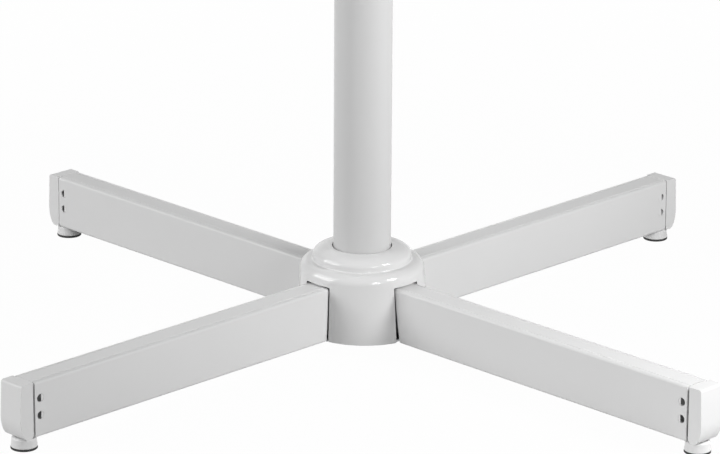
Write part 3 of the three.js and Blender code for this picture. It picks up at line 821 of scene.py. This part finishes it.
FOOT_TOP, PAD_TOP, SCREW_TOP = 10.4, 1.7, 35.5
SCREW_R, PITCH = 3.9, 1.25
stem = smooth(threaded_rod("stem", SCREW_R, 0.55, PITCH, FOOT_TOP - 1.5, SCREW_TOP))
four_times(moved(stem, shift(FOOT_X)), "foot_screw", ZINC, "foot_{}", "plated_steel")

# %% Knobs and pads
knob = turned("knob", [
    (0, PAD_TOP + 0.3), (10.7, PAD_TOP + 0.3), *arc(10.7, PAD_TOP + 0.7, 0.4, -90, 0, 3),
    (11.05, 3.1), (10.75, 4.4), (10.5, 6.2), (10.4, 8.2),
    *arc(8.5, FOOT_TOP - 1.9, 1.9, 0, 90, 6), (STEM_R + 0.6, FOOT_TOP), (0, FOOT_TOP),
], 72)
four_times(moved(smooth(knob), shift(FOOT_X)), "foot_knob", SATIN, "foot_{}", "light_plastic",
           "foot_{}")

pad = turned("pad", [
    (0, 0), (4.6, 0), (4.9, 0.5), (5.6, 0.5), (5.9, 0), (8.2, 0), (8.5, 0.5), (9.2, 0.5),
    (9.5, 0), (10.7, 0), *arc(10.7, 0.5, 0.5, -90, 0, 3), (11.2, PAD_TOP - 0.3),
    (10.9, PAD_TOP), (0, PAD_TOP),
], 72)
four_times(moved(smooth(pad), shift(FOOT_X)), "rubber_pad", RUBBER, "foot_{}", "rubber",
           "foot_pad_{}")

# %% [markdown]
# ## The hub cover
#
# The gloss moulding over the crossing is a turned form: a skirt that widens a little towards
# the floor, a round shoulder, a small step, and a neck that closes on the mast with a dark
# running gap. Its profile is drawn once, with true arcs and a flat ellipse for the neck, and
# spun. The skirt is then drawn slightly to one side at its rim, as no real one is quite true.
# Four slots let the legs out, each cut with a window a millimetre wider than the leg on both
# sides, and the two in front a little wider again on their outer side. Below each slot a tongue
# of the cast base plate closes the gap that the leg leaves, so the slot reads as one dark line.

# %% Hub cover profile
SKIRT_R, SKIRT_DRAFT, SKIRT_LOW, SKIRT_ASIDE = 54.4, 2.5, 10.9, 2.1
SHOULDER_R, SHOULDER_TOP = 8.5, 72.0
NECK_R, NECK_WIDE, NECK_HIGH, COVER_TOP = 43.0, 15.5, 7.8, 83.8
COVER_WALL, COVER_BORE = 3.0, 25.9
CORE_TOP = 68.8
shoulder_x, shoulder_z = SKIRT_R - SHOULDER_R, SHOULDER_TOP - SHOULDER_R
neck_x, neck_z = NECK_R - NECK_WIDE, COVER_TOP - NECK_HIGH


def neck(inset, start, end, steps):
    """Points on the neck's ellipse, or on one inset from it by the wall."""
    round_points = arc(0, 0, 1, start, end, steps)
    return [(neck_x + u * (NECK_WIDE - inset), neck_z + v * (NECK_HIGH - inset))
            for u, v in round_points]


cover = turned("cover", [
    (SKIRT_R + SKIRT_DRAFT - COVER_WALL, SKIRT_LOW), (SKIRT_R + SKIRT_DRAFT - 0.5, SKIRT_LOW),
    (SKIRT_R + SKIRT_DRAFT, SKIRT_LOW + 0.5),
    *arc(shoulder_x, shoulder_z, SHOULDER_R, 0, 90, 14),
    (NECK_R + 1.1, SHOULDER_TOP), *arc(NECK_R + 1.1, SHOULDER_TOP + 1.1, 1.1, 270, 180, 5),
    *neck(0, 0, 86, 16),
    *arc(COVER_BORE + 0.6, COVER_TOP - 0.6, 0.6, 90, 180, 5),
    (COVER_BORE, CORE_TOP + 2.9), (COVER_BORE + COVER_WALL, CORE_TOP + 2.9),
    *neck(COVER_WALL, 80, 0, 8),
    (NECK_R - COVER_WALL, SHOULDER_TOP - COVER_WALL),
    *arc(shoulder_x, shoulder_z, SHOULDER_R - COVER_WALL, 90, 0, 6),
], 160)
for corner in cover.data.vertices:
    below = max(0.0, shoulder_z - corner.co.z / MM) / (shoulder_z - SKIRT_LOW)
    corner.co.x += SKIRT_ASIDE * MM * below
print("skirt", 2 * (SKIRT_R + SKIRT_DRAFT), "mm across at its rim")

# %% Hub cover slots
SLOT_HALF, SLOT_TOP, SLOT_CORNER = LEG_WIDTH / 2 + 1.15, LEG_HIGH + 0.9, 1.2
SLOT_EXTRA = {"front_left": (1.2, 0.0), "front_right": (0.0, 1.2)}
WINDOW_START = 34.0
for quarter, degrees in QUARTERS.items():
    right, left = (SLOT_HALF + extra for extra in SLOT_EXTRA.get(quarter, (0.0, 0.0)))
    slot = [
        (-right, 0), (left, 0),
        *arc(left - SLOT_CORNER, SLOT_TOP - SLOT_CORNER, SLOT_CORNER, 0, 90, 5),
        *arc(-right + SLOT_CORNER, SLOT_TOP - SLOT_CORNER, SLOT_CORNER, 90, 180, 5),
    ]
    window = run_section("window", slot, WINDOW_START, SKIRT_R + SPARE)
    cut(cover, moved(window, turn(degrees)))
smooth(break_edges(cover, 0.35, 2, angle=55.0), 40.0)
cover.name = "gloss_hub_cover"
hand_over(cover, GLOSS, "base", "cover_gloss", "hub_cover")
print("hub cover faces:", len(cover.data.polygons))

# %% Base plate tongues
TONGUE_WIDTH, TONGUE_THICK, TONGUE_Z = 25.6, 2.0, 12.0
TONGUE_START, TONGUE_END = 46.0, 54.5
tongue = run_section("tongue", rounded_rectangle(TONGUE_WIDTH, TONGUE_THICK, 0.5, 3, TONGUE_Z),
                     TONGUE_START, TONGUE_END)
smooth(break_edges(tongue, 0.3, 2, angle=50.0))
four_times(tongue, "plate_tongue", CAST, "base", "cast_aluminium")

# %% [markdown]
# ## The mast
#
# The mast is a plain painted tube, 50 mm across. What makes it read as metal is a long soft
# highlight, so it gets many sides and a fine edge at its open top, under the cap.

# %% Mast and its cap
MAST_R, MAST_WALL, MAST_LOW, MAST_TOP = 25.0, 1.6, 22.9, 1760.0
mast = turned("painted_mast", [
    (MAST_R - MAST_WALL, MAST_LOW), (MAST_R - 0.3, MAST_LOW), (MAST_R, MAST_LOW + 0.3),
    (MAST_R, MAST_TOP - 0.3), (MAST_R - 0.3, MAST_TOP), (MAST_R - MAST_WALL, MAST_TOP),
], 128)
# The mast takes the darker grey, which is partly painted shade.
hand_over(smooth(mast), SHADED_POST, "mast", "painted_tube", "mast_tube")

RIM, SPIGOT_R = MAST_TOP + 0.3, MAST_R - MAST_WALL - 0.3
top_cap = turned("mast_cap", [
    (0, RIM + 1), (SPIGOT_R - 3, RIM + 1), (SPIGOT_R - 3, RIM - 18), (SPIGOT_R, RIM - 18),
    (SPIGOT_R, RIM), (MAST_R + 0.6, RIM), *arc(MAST_R + 0.5, RIM + 0.5, 0.5, -90, 0, 3),
    *arc(MAST_R - 3.0, RIM + 2.4, 4.0, 0, 62, 6),
    (MAST_R - 6, RIM + 7.0), (MAST_R - 12, RIM + 8.3), (MAST_R - 19, RIM + 8.75), (0, RIM + 8.8),
], 96)
hand_over(smooth(top_cap), SATIN, "mast", "light_plastic", "mast_top_cap")
print("mast", MAST_TOP - MAST_LOW, "mm long")

# %% [markdown]
# ## Rules made with Geometry Nodes
#
# A repeat, such as ribs round a grip, is a rule with a few numbers, and Geometry Nodes keep
# the rule and the numbers apart: the tree is built once, its inputs carry the sizes, and each
# use sets its own. The modifier's result is then frozen into a plain mesh, so that the piece
# can be handed over like any other. The same could be done with array modifiers, but those
# can't leave out the ribs that would run into the clamp's boss.

# %% Building and using a rule


def new_rule(name, **sizes):
    """A Geometry Nodes tree with named inputs; whole numbers make integer inputs."""
    tree = bpy.data.node_groups.new(name, "GeometryNodeTree")
    for label, value in sizes.items():
        kind = "NodeSocketInt" if isinstance(value, int) else "NodeSocketFloat"
        socket = tree.interface.new_socket(label, in_out="INPUT", socket_type=kind)
        socket.default_value = value
    tree.interface.new_socket("material", in_out="INPUT", socket_type="NodeSocketMaterial")
    tree.interface.new_socket("geometry", in_out="OUTPUT", socket_type="NodeSocketGeometry")
    return tree, tree.nodes.new("NodeGroupInput").outputs


def close_rule(tree, start, geometry):
    """Ends a tree with real geometry instead of instances, and its material."""
    real = node(tree, "GeometryNodeRealizeInstances", {"Geometry": geometry})
    painted = node(tree, "GeometryNodeSetMaterial", {
        "Geometry": real, "Material": start["material"]})
    node(tree, "NodeGroupOutput", {"geometry": painted})
    return tree


def made_by(tree, name, **values):
    """Runs a tree on an empty object, with a value for every input, and freezes the result."""
    blank = new_object(name, bmesh.new())
    step = blank.modifiers.new("rule", "NODES")
    step.node_group = tree
    for item in tree.interface.items_tree:
        if item.in_out == "INPUT":
            step[item.identifier] = values[item.name]
    return settle(blank)


def vector(tree, **axes):
    """Adds a node that makes a vector from X, Y and Z, each 0 unless it is given."""
    return node(tree, "ShaderNodeCombineXYZ", axes)


print("helpers: new_rule, close_rule, made_by, vector")

# %% [markdown]
# ## The slider
#
# The collar that carries the arms is one moulding: a ribbed grip below, a thicker ring above
# that takes two lugs for each arm, and a round boss in front for the clamp's screw. The ring
# and the lugs are made first, with soft edges, and then united. The ribs follow a rule: points
# on a circle, thinned where the boss is, each carrying one slim bar turned outward.

# %% Lugs


def lug_pair(pin_x, radius, root, side, half_gap, thickness):
    """Two parallel lugs with round ends on +X; returns them as separate solids."""
    outline = [(root, -radius), *arc(pin_x, 0, radius, -90, 90, 20), (root, radius)]
    lugs = [plate("lug", outline, low, low + thickness)
            for low in (side - half_gap - thickness, side + half_gap)]
    return [break_edges(lug, 0.7, 3, angle=50.0) for lug in lugs]


def with_lugs(body, **lug):
    """Unites a turned body with lugs at every quarter."""
    for degrees in QUARTERS.values():
        join(body, *[moved(piece, turn(degrees)) for piece in lug_pair(**lug)])
    return body


print("helpers: lug_pair, with_lugs")

# %% Slider body
SLIDER_Z, ARM_PIN_X = 1330.0, 46.0
GRIP_R, RING_R, SLIDER_BORE = 32.0, 35.0, 25.5
CLAMP_Z, BOSS_R, BOSS_END = -30.0, 10.0, 44.0
NUT_FLATS, STUD_HOLE_R, SHOE_R = 13.6, 4.4, 6.3
collar = turned("collar", [
    (SLIDER_BORE, -47.4), (SLIDER_BORE + 0.6, -48), *arc(GRIP_R - 1.6, -46.4, 1.6, -90, 0, 5),
    (GRIP_R, -17.4), *arc(GRIP_R + 0.8, -16.6, 0.8, 180, 110, 3),
    *arc(RING_R - 2.2, -13.2, 2.2, -70, 0, 5), *arc(RING_R - 4, 12, 4, 0, 90, 8),
    (30.2, 16), *arc(30.2, 16.8, 0.8, 270, 180, 3),
    *arc(28.4, 23, 1, 0, 90, 3), (SLIDER_BORE + 0.6, 24), (SLIDER_BORE, 23.4),
], 112)
with_lugs(collar, pin_x=ARM_PIN_X, radius=11.0, root=28.0, side=0.0, half_gap=7.6, thickness=3.5)
boss = rod("boss", BOSS_R, -BOSS_END, 3 - GRIP_R, (0, CLAMP_Z), segments=56)
break_edges(boss, 0.8, 3, angle=50.0)
nut_corners = arc(0, CLAMP_Z, NUT_FLATS / math.sqrt(3), 30, 390, 6)[:-1]
cut(join(collar, boss),
    plate("nut_pocket", nut_corners, -BOSS_END - 4, -BOSS_END + 8),
    rod("stud_hole", STUD_HOLE_R, -BOSS_END - 5, -SLIDER_BORE + 2, (0, CLAMP_Z)),
    rod("shoe_pocket", SHOE_R, -SLIDER_BORE - 3.5, -17, (0, CLAMP_Z)))
moved(smooth(collar), shift(z=SLIDER_Z))
collar.name = "slider_body"
hand_over(collar, SATIN, "carriage", "light_plastic", "slider")
print("slider faces:", len(collar.data.polygons))

# %% Grip ribs
RIB_COUNT, RIB_R, RIB_LONG, RIB_Z = 44, 0.9, 22, -32


def grip_rule():
    """Slim upright bars round a circle, left out where the boss stands."""
    tree, start = new_rule("grip_ribs", radius=0.03, height=0.02, thickness=0.001, count=8,
                           level=0.0, clear_half_width=0.01)
    ring = node(tree, "GeometryNodeMeshCircle", {
        "Vertices": start["count"], "Radius": start["radius"]})
    place = node(tree, "GeometryNodeInputPosition")
    axes = node(tree, "ShaderNodeSeparateXYZ", {0: place}).outputs
    near = node(tree, "FunctionNodeCompare", {
        "A": maths(tree, "ABSOLUTE", axes["X"]), "B": start["clear_half_width"]},
        operation="LESS_THAN")
    front = node(tree, "FunctionNodeCompare", {"A": axes["Y"], "B": 0.0}, operation="LESS_THAN")
    both = node(tree, "FunctionNodeBooleanMath", {0: near, 1: front}, operation="AND")
    thinned = node(tree, "GeometryNodeDeleteGeometry", {
        "Geometry": ring, "Selection": both}, domain="POINT")
    outward = node(tree, "FunctionNodeAlignRotationToVector", {"Vector": place},
                   axis="X", pivot_axis="Z")
    bar = node(tree, "GeometryNodeMeshCylinder", {
        "Vertices": 14, "Radius": start["thickness"], "Depth": start["height"]})
    placed = node(tree, "GeometryNodeInstanceOnPoints", {
        "Points": thinned, "Instance": bar, "Rotation": outward})
    raised = node(tree, "GeometryNodeTransform", {
        "Geometry": placed, "Translation": vector(tree, Z=start["level"])})
    return close_rule(tree, start, raised)


ribs = made_by(grip_rule(), "grip_ribs", material=SATIN, radius=(GRIP_R + 0.1) * MM,
               height=RIB_LONG * MM, thickness=RIB_R * MM, count=RIB_COUNT,
               level=(SLIDER_Z + RIB_Z) * MM, clear_half_width=(BOSS_R + 1.2) * MM)
hand_over(smooth(ribs), SATIN, "carriage", "light_plastic")
print("rib faces:", len(ribs.data.polygons))

# %% [markdown]
# ## The clamp
#
# A lobed hand knob drives a threaded stud through a captive nut, and the stud presses a shoe
# against the mast. The knob's outline is a circle with a six-fold wave. It is lofted from
# rings of that outline, drawn in at both faces and dished in front, as the mould would make it.

# %% Clamp knob and stud
KNOB_START, KNOB_R = -45.0, 16.6
LOBES, LOBE_HIGH, LOBE_DEEP = 6, 2.4, 12


def lobed_ring(inset, depth, steps=144):
    """The knob's outline, drawn in by inset, at a depth along -Y."""
    points = []
    for i in range(steps):
        angle = 2 * math.pi * i / steps
        wave = LOBE_HIGH * max(0.0, 1 - inset / LOBE_DEEP)
        radius = KNOB_R - inset + wave * math.cos(LOBES * angle)
        points.append((radius * math.cos(angle), KNOB_START - depth,
                       CLAMP_Z + radius * math.sin(angle)))
    return points


hand_knob = lofted("clamp_hand_knob", [lobed_ring(inset, depth) for inset, depth in (
    (1.6, 0.0), (0.7, 0.25), (0.2, 0.7), (0.0, 1.4), (0.0, 8.6), (0.25, 9.8), (0.8, 10.8),
    (1.7, 11.6), (2.9, 12.0), (4.2, 11.9), (5.8, 11.3), (8.0, 10.9), (9.4, 10.8),
    (9.9, 11.0), (10.2, 11.4), (10.8, 11.6), (13.0, 11.7))])
moved(smooth(hand_knob, 40.0), shift(z=SLIDER_Z))
hand_over(hand_knob, GRIP, "clamp", "knob_plastic", "clamp_knob")

stud = threaded_rod("clamp_stud", SCREW_R, 0.5, PITCH, 28.5, 50.0)
moved(smooth(stud), shift(z=SLIDER_Z + CLAMP_Z) @ turn(90, "X"))
hand_over(stud, ZINC, "clamp", "plated_steel")
print("clamp:", pieces_made[-2:])

# %% [markdown]
# ## The crown
#
# The fixed head near the mast's top carries the four struts. Each sits to one side of its
# quarter's centre line, so that it lies beside the arm when the airer folds.

# %% Crown
CROWN_Z, CROWN_R, CROWN_BORE, STRUT_PIN_X, STRUT_SIDE = 1720.0, 31.5, 25.3, 40.0, 11.0
crown = turned("crown_body", [
    (CROWN_BORE, -17.5), (CROWN_BORE + 0.5, -18), *arc(CROWN_R - 1.8, -16.2, 1.8, -90, 0, 5),
    (CROWN_R, -9.0), (CROWN_R - 0.7, -8.4), (CROWN_R - 0.7, 8.4), (CROWN_R, 9.0),
    *arc(CROWN_R - 4, 14, 4, 0, 90, 8), (CROWN_BORE + 0.5, 18), (CROWN_BORE, 17.5),
], 112)
with_lugs(crown, pin_x=STRUT_PIN_X, radius=8.5, root=26.4, side=STRUT_SIDE, half_gap=3.5,
          thickness=3.0)
moved(smooth(crown), shift(z=CROWN_Z))
hand_over(crown, SATIN, "mast", "light_plastic", "crown")
print("crown faces:", len(crown.data.polygons))

# %% [markdown]
# ## The arms
#
# An arm is a drawn tube that follows one rule all along: the same section from the hinge to
# the tip, with a hole for the line at every 108 mm. So the whole tube is made by a node tree:
# a rounded rectangle swept along a line, hollowed, rounded about the hinge, and drilled by a
# row of instances. The tree also writes the map that lets the drawn finish run along the bar.

# %% Rows and bars as nodes


def row_of_points(tree, start, y=0.0):
    """One point at each line hole, along X."""
    return node(tree, "GeometryNodeMeshLine", {
        "Count": start["count"], "Start Location": vector(tree, X=start["first"], Y=y),
        "Offset": vector(tree, X=start["pitch"])}, mode="OFFSET")


def bar_along_x(tree, low, high, width, height, corner):
    """A solid bar with rounded long edges: a rectangle swept along a straight line."""
    path = node(tree, "GeometryNodeCurvePrimitiveLine", {
        "Start": vector(tree, X=low), "End": vector(tree, X=high)})
    upright = node(tree, "GeometryNodeSetCurveNormal", {"Curve": path}, mode="Z_UP")
    section = node(tree, "GeometryNodeCurvePrimitiveQuadrilateral", {
        "Width": width, "Height": height})
    rounded = node(tree, "GeometryNodeFilletCurve", {
        "Curve": section, "Radius": corner, "Count": 5}, mode="POLY")
    return node(tree, "GeometryNodeCurveToMesh", {
        "Curve": upright, "Profile Curve": rounded, "Fill Caps": True})


def boolean(tree, operation, inputs):
    """Adds a Mesh Boolean node with the exact solver."""
    return node(tree, "GeometryNodeMeshBoolean", inputs, operation=operation, solver="EXACT")


print("helpers: row_of_points, bar_along_x, boolean")

# %% Arm rule
TOOL_LONG, REST_LONG = 0.05, 2.0
OUTER_CORNER, INNER_CORNER = 0.0025, 0.0011
ONTO_Y = (math.radians(90), 0.0, 0.0)


def arm_rule():
    """A hollow bar with a round hinge end and a drilled row of holes."""
    tree, start = new_rule("arm_tube", length=0.8, width=0.014, height=0.018, wall=0.0014,
                           first=0.2, pitch=0.1, count=6, hole_radius=0.003)
    reach = maths(tree, "MULTIPLY", start["height"], 0.5)
    twice_wall = maths(tree, "MULTIPLY", start["wall"], 2.0)
    outer = bar_along_x(tree, maths(tree, "MULTIPLY", reach, -1.2), start["length"],
                        start["width"], start["height"], OUTER_CORNER)
    inner = bar_along_x(tree, maths(tree, "MULTIPLY", reach, -2.0),
                        maths(tree, "ADD", start["length"], 0.01),
                        maths(tree, "SUBTRACT", start["width"], twice_wall),
                        maths(tree, "SUBTRACT", start["height"], twice_wall), INNER_CORNER)
    drum = node(tree, "GeometryNodeMeshCylinder", {
        "Vertices": 48, "Radius": reach, "Depth": TOOL_LONG})
    drum_across = node(tree, "GeometryNodeTransform", {"Geometry": drum, "Rotation": ONTO_Y})
    rest = node(tree, "GeometryNodeMeshCube", {"Size": (REST_LONG, TOOL_LONG, TOOL_LONG)})
    rest_on = node(tree, "GeometryNodeTransform", {
        "Geometry": rest, "Translation": (REST_LONG / 2, 0.0, 0.0)})
    side_view = boolean(tree, "UNION", {"Mesh 2": [drum_across, rest_on]})
    ended = boolean(tree, "INTERSECT", {"Mesh 2": [outer, side_view]})
    drill = node(tree, "GeometryNodeMeshCylinder", {
        "Vertices": 24, "Radius": start["hole_radius"], "Depth": TOOL_LONG})
    drills = node(tree, "GeometryNodeInstanceOnPoints", {
        "Points": row_of_points(tree, start), "Instance": drill, "Rotation": ONTO_Y})
    real = node(tree, "GeometryNodeRealizeInstances", {"Geometry": drills})
    hollow = boolean(tree, "DIFFERENCE", {"Mesh 1": ended, "Mesh 2": [inner, real]})
    axes = node(tree, "ShaderNodeSeparateXYZ", {
        0: node(tree, "GeometryNodeInputPosition")}).outputs
    run = vector(tree, X=axes["X"], Y=maths(tree, "ADD", axes["Y"], axes["Z"]))
    mapped = node(tree, "GeometryNodeStoreNamedAttribute", {
        "Geometry": hollow, "Name": "run", "Value": run}, data_type="FLOAT2", domain="CORNER")
    return close_rule(tree, start, mapped)


ARM_RULE = arm_rule()
print("arm rule with", len(ARM_RULE.nodes), "nodes")

# %% Arm tubes
ARM_LENGTH, ARM_WIDTH, ARM_HEIGHT, ARM_WALL, ARM_RISE = 800.0, 14.0, 18.0, 1.4, 20
ARM_PLACE = shift(ARM_PIN_X, z=SLIDER_Z) @ turn(-ARM_RISE, "Y")
LINE_HOLES = {"first": 200 * MM, "pitch": 108 * MM, "count": 6}

arm = made_by(ARM_RULE, "arm", material=DRAWN, length=ARM_LENGTH * MM, width=ARM_WIDTH * MM,
              height=ARM_HEIGHT * MM, wall=ARM_WALL * MM, hole_radius=2.6 * MM, **LINE_HOLES)
smooth(break_edges(arm, 0.15, 1, angle=60.0))
print("arm faces:", len(arm.data.polygons),
      "size", [round(v / MM, 1) for v in arm.dimensions])
four_times(arm, "drawn_arm", DRAWN, "arm_{}", "arm_aluminium", "arm_{}", ARM_PLACE)

# %% Line grommets


def grommet_rule():
    """A small round-edged ring on both sides of every line hole."""
    tree, start = new_rule("line_grommets", ring_radius=0.003, thickness=0.0007, side=0.007,
                           first=0.2, pitch=0.1, count=6)
    circle = node(tree, "GeometryNodeCurvePrimitiveCircle", {
        "Resolution": 32, "Radius": start["ring_radius"]})
    section = node(tree, "GeometryNodeCurvePrimitiveCircle", {
        "Resolution": 12, "Radius": start["thickness"]})
    ring = node(tree, "GeometryNodeCurveToMesh", {"Curve": circle, "Profile Curve": section})
    sides = (start["side"], maths(tree, "MULTIPLY", start["side"], -1.0))
    both = node(tree, "GeometryNodeJoinGeometry", {
        0: [row_of_points(tree, start, y) for y in sides]})
    placed = node(tree, "GeometryNodeInstanceOnPoints", {
        "Points": both, "Instance": ring, "Rotation": ONTO_Y})
    return close_rule(tree, start, placed)


grommets = made_by(grommet_rule(), "grommets", material=BEARING, ring_radius=3.1 * MM,
                   thickness=0.75 * MM, side=(ARM_WIDTH / 2) * MM, **LINE_HOLES)
four_times(smooth(grommets), "line_grommets", BEARING, "arm_{}", "bush_plastic",
           place=ARM_PLACE)

# %% [markdown]
# ## Arm caps
#
# The tip of each arm is closed by a moulded nose that turns up into a hook for the outermost
# line. It is a side outline with thickness, so it is drawn with arcs and given soft edges.

# %% Hooked caps
NOSE, REACH = ARM_LENGTH + 0.3, ARM_HEIGHT / 2
hook = plate("hook", [
    (NOSE, -REACH), *arc(NOSE + 9, -REACH + 7, 7, -90, 0, 14), (NOSE + 16, REACH + 3),
    *arc(NOSE + 14, REACH + 3, 2, 0, 180, 14), (NOSE + 12, REACH - 3.2),
    *arc(NOSE + 10.2, REACH - 3.2, 1.8, 0, -180, 12), (NOSE + 8.4, REACH - 1),
    *arc(NOSE + 7.4, REACH - 1, 1, 0, 90, 4), (NOSE, REACH),
], -ARM_WIDTH / 2, ARM_WIDTH / 2)
break_edges(hook, 0.6, 3, angle=50.0)
arm_plug = run_section("arm_plug", rounded_rectangle(
    ARM_WIDTH - 2 * ARM_WALL - 0.6, ARM_HEIGHT - 2 * ARM_WALL - 0.6, 1, 3), NOSE - 22, NOSE + 2)
smooth(join(hook, arm_plug))
four_times(hook, "hooked_cap", SATIN, "arm_{}", "light_plastic", "arm_cap_{}", ARM_PLACE)

# %% [markdown]
# ## Struts, pins and rivets
#
# The struts are flat drawn tubes with round ends. Their pins and rivets are turned steel with
# low domed heads. A rivet stops inside the strut, as the arm beside it swings on its own.

# %% Struts
STRUT_WIDTH, STRUT_HEIGHT, STRUT_WALL = 6.0, 14.0, 1.2
PIVOT_REACH = 420
rise = math.radians(ARM_RISE)
pivot = (ARM_PIN_X + PIVOT_REACH * math.cos(rise), SLIDER_Z + PIVOT_REACH * math.sin(rise))
STRUT_LENGTH = math.dist(pivot, (STRUT_PIN_X, CROWN_Z))
STRUT_TILT = math.atan2(CROWN_Z - pivot[1], pivot[0] - STRUT_PIN_X)
STRUT_PLACE = (shift(STRUT_PIN_X, z=CROWN_Z) @ Matrix.Rotation(STRUT_TILT, 4, "Y")
               @ shift(y=STRUT_SIDE))
END_R = STRUT_HEIGHT / 2
strut = run_section(
    "strut", rounded_rectangle(STRUT_WIDTH, STRUT_HEIGHT, 2.0, 5), -12, STRUT_LENGTH + 12,
    hole=rounded_rectangle(STRUT_WIDTH - 2 * STRUT_WALL, STRUT_HEIGHT - 2 * STRUT_WALL, 0.8, 3))
common(strut, plate("ends", [
    *arc(0, 0, END_R, 90, 270, 20), *arc(STRUT_LENGTH, 0, END_R, -90, 90, 20)], -20, 20))
smooth(break_edges(strut, 0.2, 2, angle=50.0))
four_times(strut, "drawn_strut", DRAWN, "strut_{}", "arm_aluminium", "strut_{}", STRUT_PLACE)
print("strut length", round(STRUT_LENGTH, 1), "mm")

# %% Pins and rivets
PIN_R, RIVET_R, RIVET_TOP, HEAD_R = 3.0, 2.7, 3.3, 5.2
ACROSS = turn(-90, "X")


def domed_head(start):
    """Half a head's outline, from its rim to the axis, standing 2 mm beyond start."""
    return [(HEAD_R, start), (HEAD_R, start + 0.35), (HEAD_R - 0.35, start + 0.9),
            (HEAD_R - 1.2, start + 1.45), (HEAD_R - 2.6, start + 1.85), (0, start + 2.0)]


def headed_pin(name, half_width):
    """A pin about Z with a head beyond each end of the width that it holds together."""
    end = half_width + 0.3
    upper = [(PIN_R, end), *domed_head(end)]
    lower = [(r, -z) for r, z in upper]
    return smooth(turned(name, [*reversed(lower), *upper], 40))


for label, half_width, body, solid, place in (
        ("arm_hinge_pin", 11.1, "carriage", "arm_pin_{}", shift(ARM_PIN_X, z=SLIDER_Z)),
        ("strut_hinge_pin", 6.5, "mast", "strut_pin_{}",
         shift(STRUT_PIN_X, STRUT_SIDE, CROWN_Z))):
    four_times(headed_pin(label, half_width), label, ZINC, body, "plated_steel", solid,
               place @ ACROSS)

rivet = smooth(turned("rivet", [
    (0, -3), (RIVET_R - 0.2, -3), (RIVET_R, -2.8), (RIVET_R, RIVET_TOP),
    *domed_head(RIVET_TOP),
], 40))
four_times(rivet, "pivot_rivet", ZINC, "strut_{}", "plated_steel", "strut_rivet_{}",
           STRUT_PLACE @ shift(STRUT_LENGTH) @ ACROSS)

# %% [markdown]
# ## Close
#
# The solids that stay visible get their finish by name.

# %% Finishes for the solids that stay
KEPT = {
    "hub_core": CAST,
    "mast_bush": BEARING,
    "mast_bottom_plug": SATIN,
    "leg_bolt": ZINC,
    "clamp_nut": ZINC,
    "clamp_shoe": BEARING,
}
kept = [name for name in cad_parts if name.startswith(tuple(KEPT))]
for name in kept:
    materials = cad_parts[name].data.materials
    materials.clear()
    materials.append(next(KEPT[prefix] for prefix in KEPT if name.startswith(prefix)))
print("solids kept:", kept)
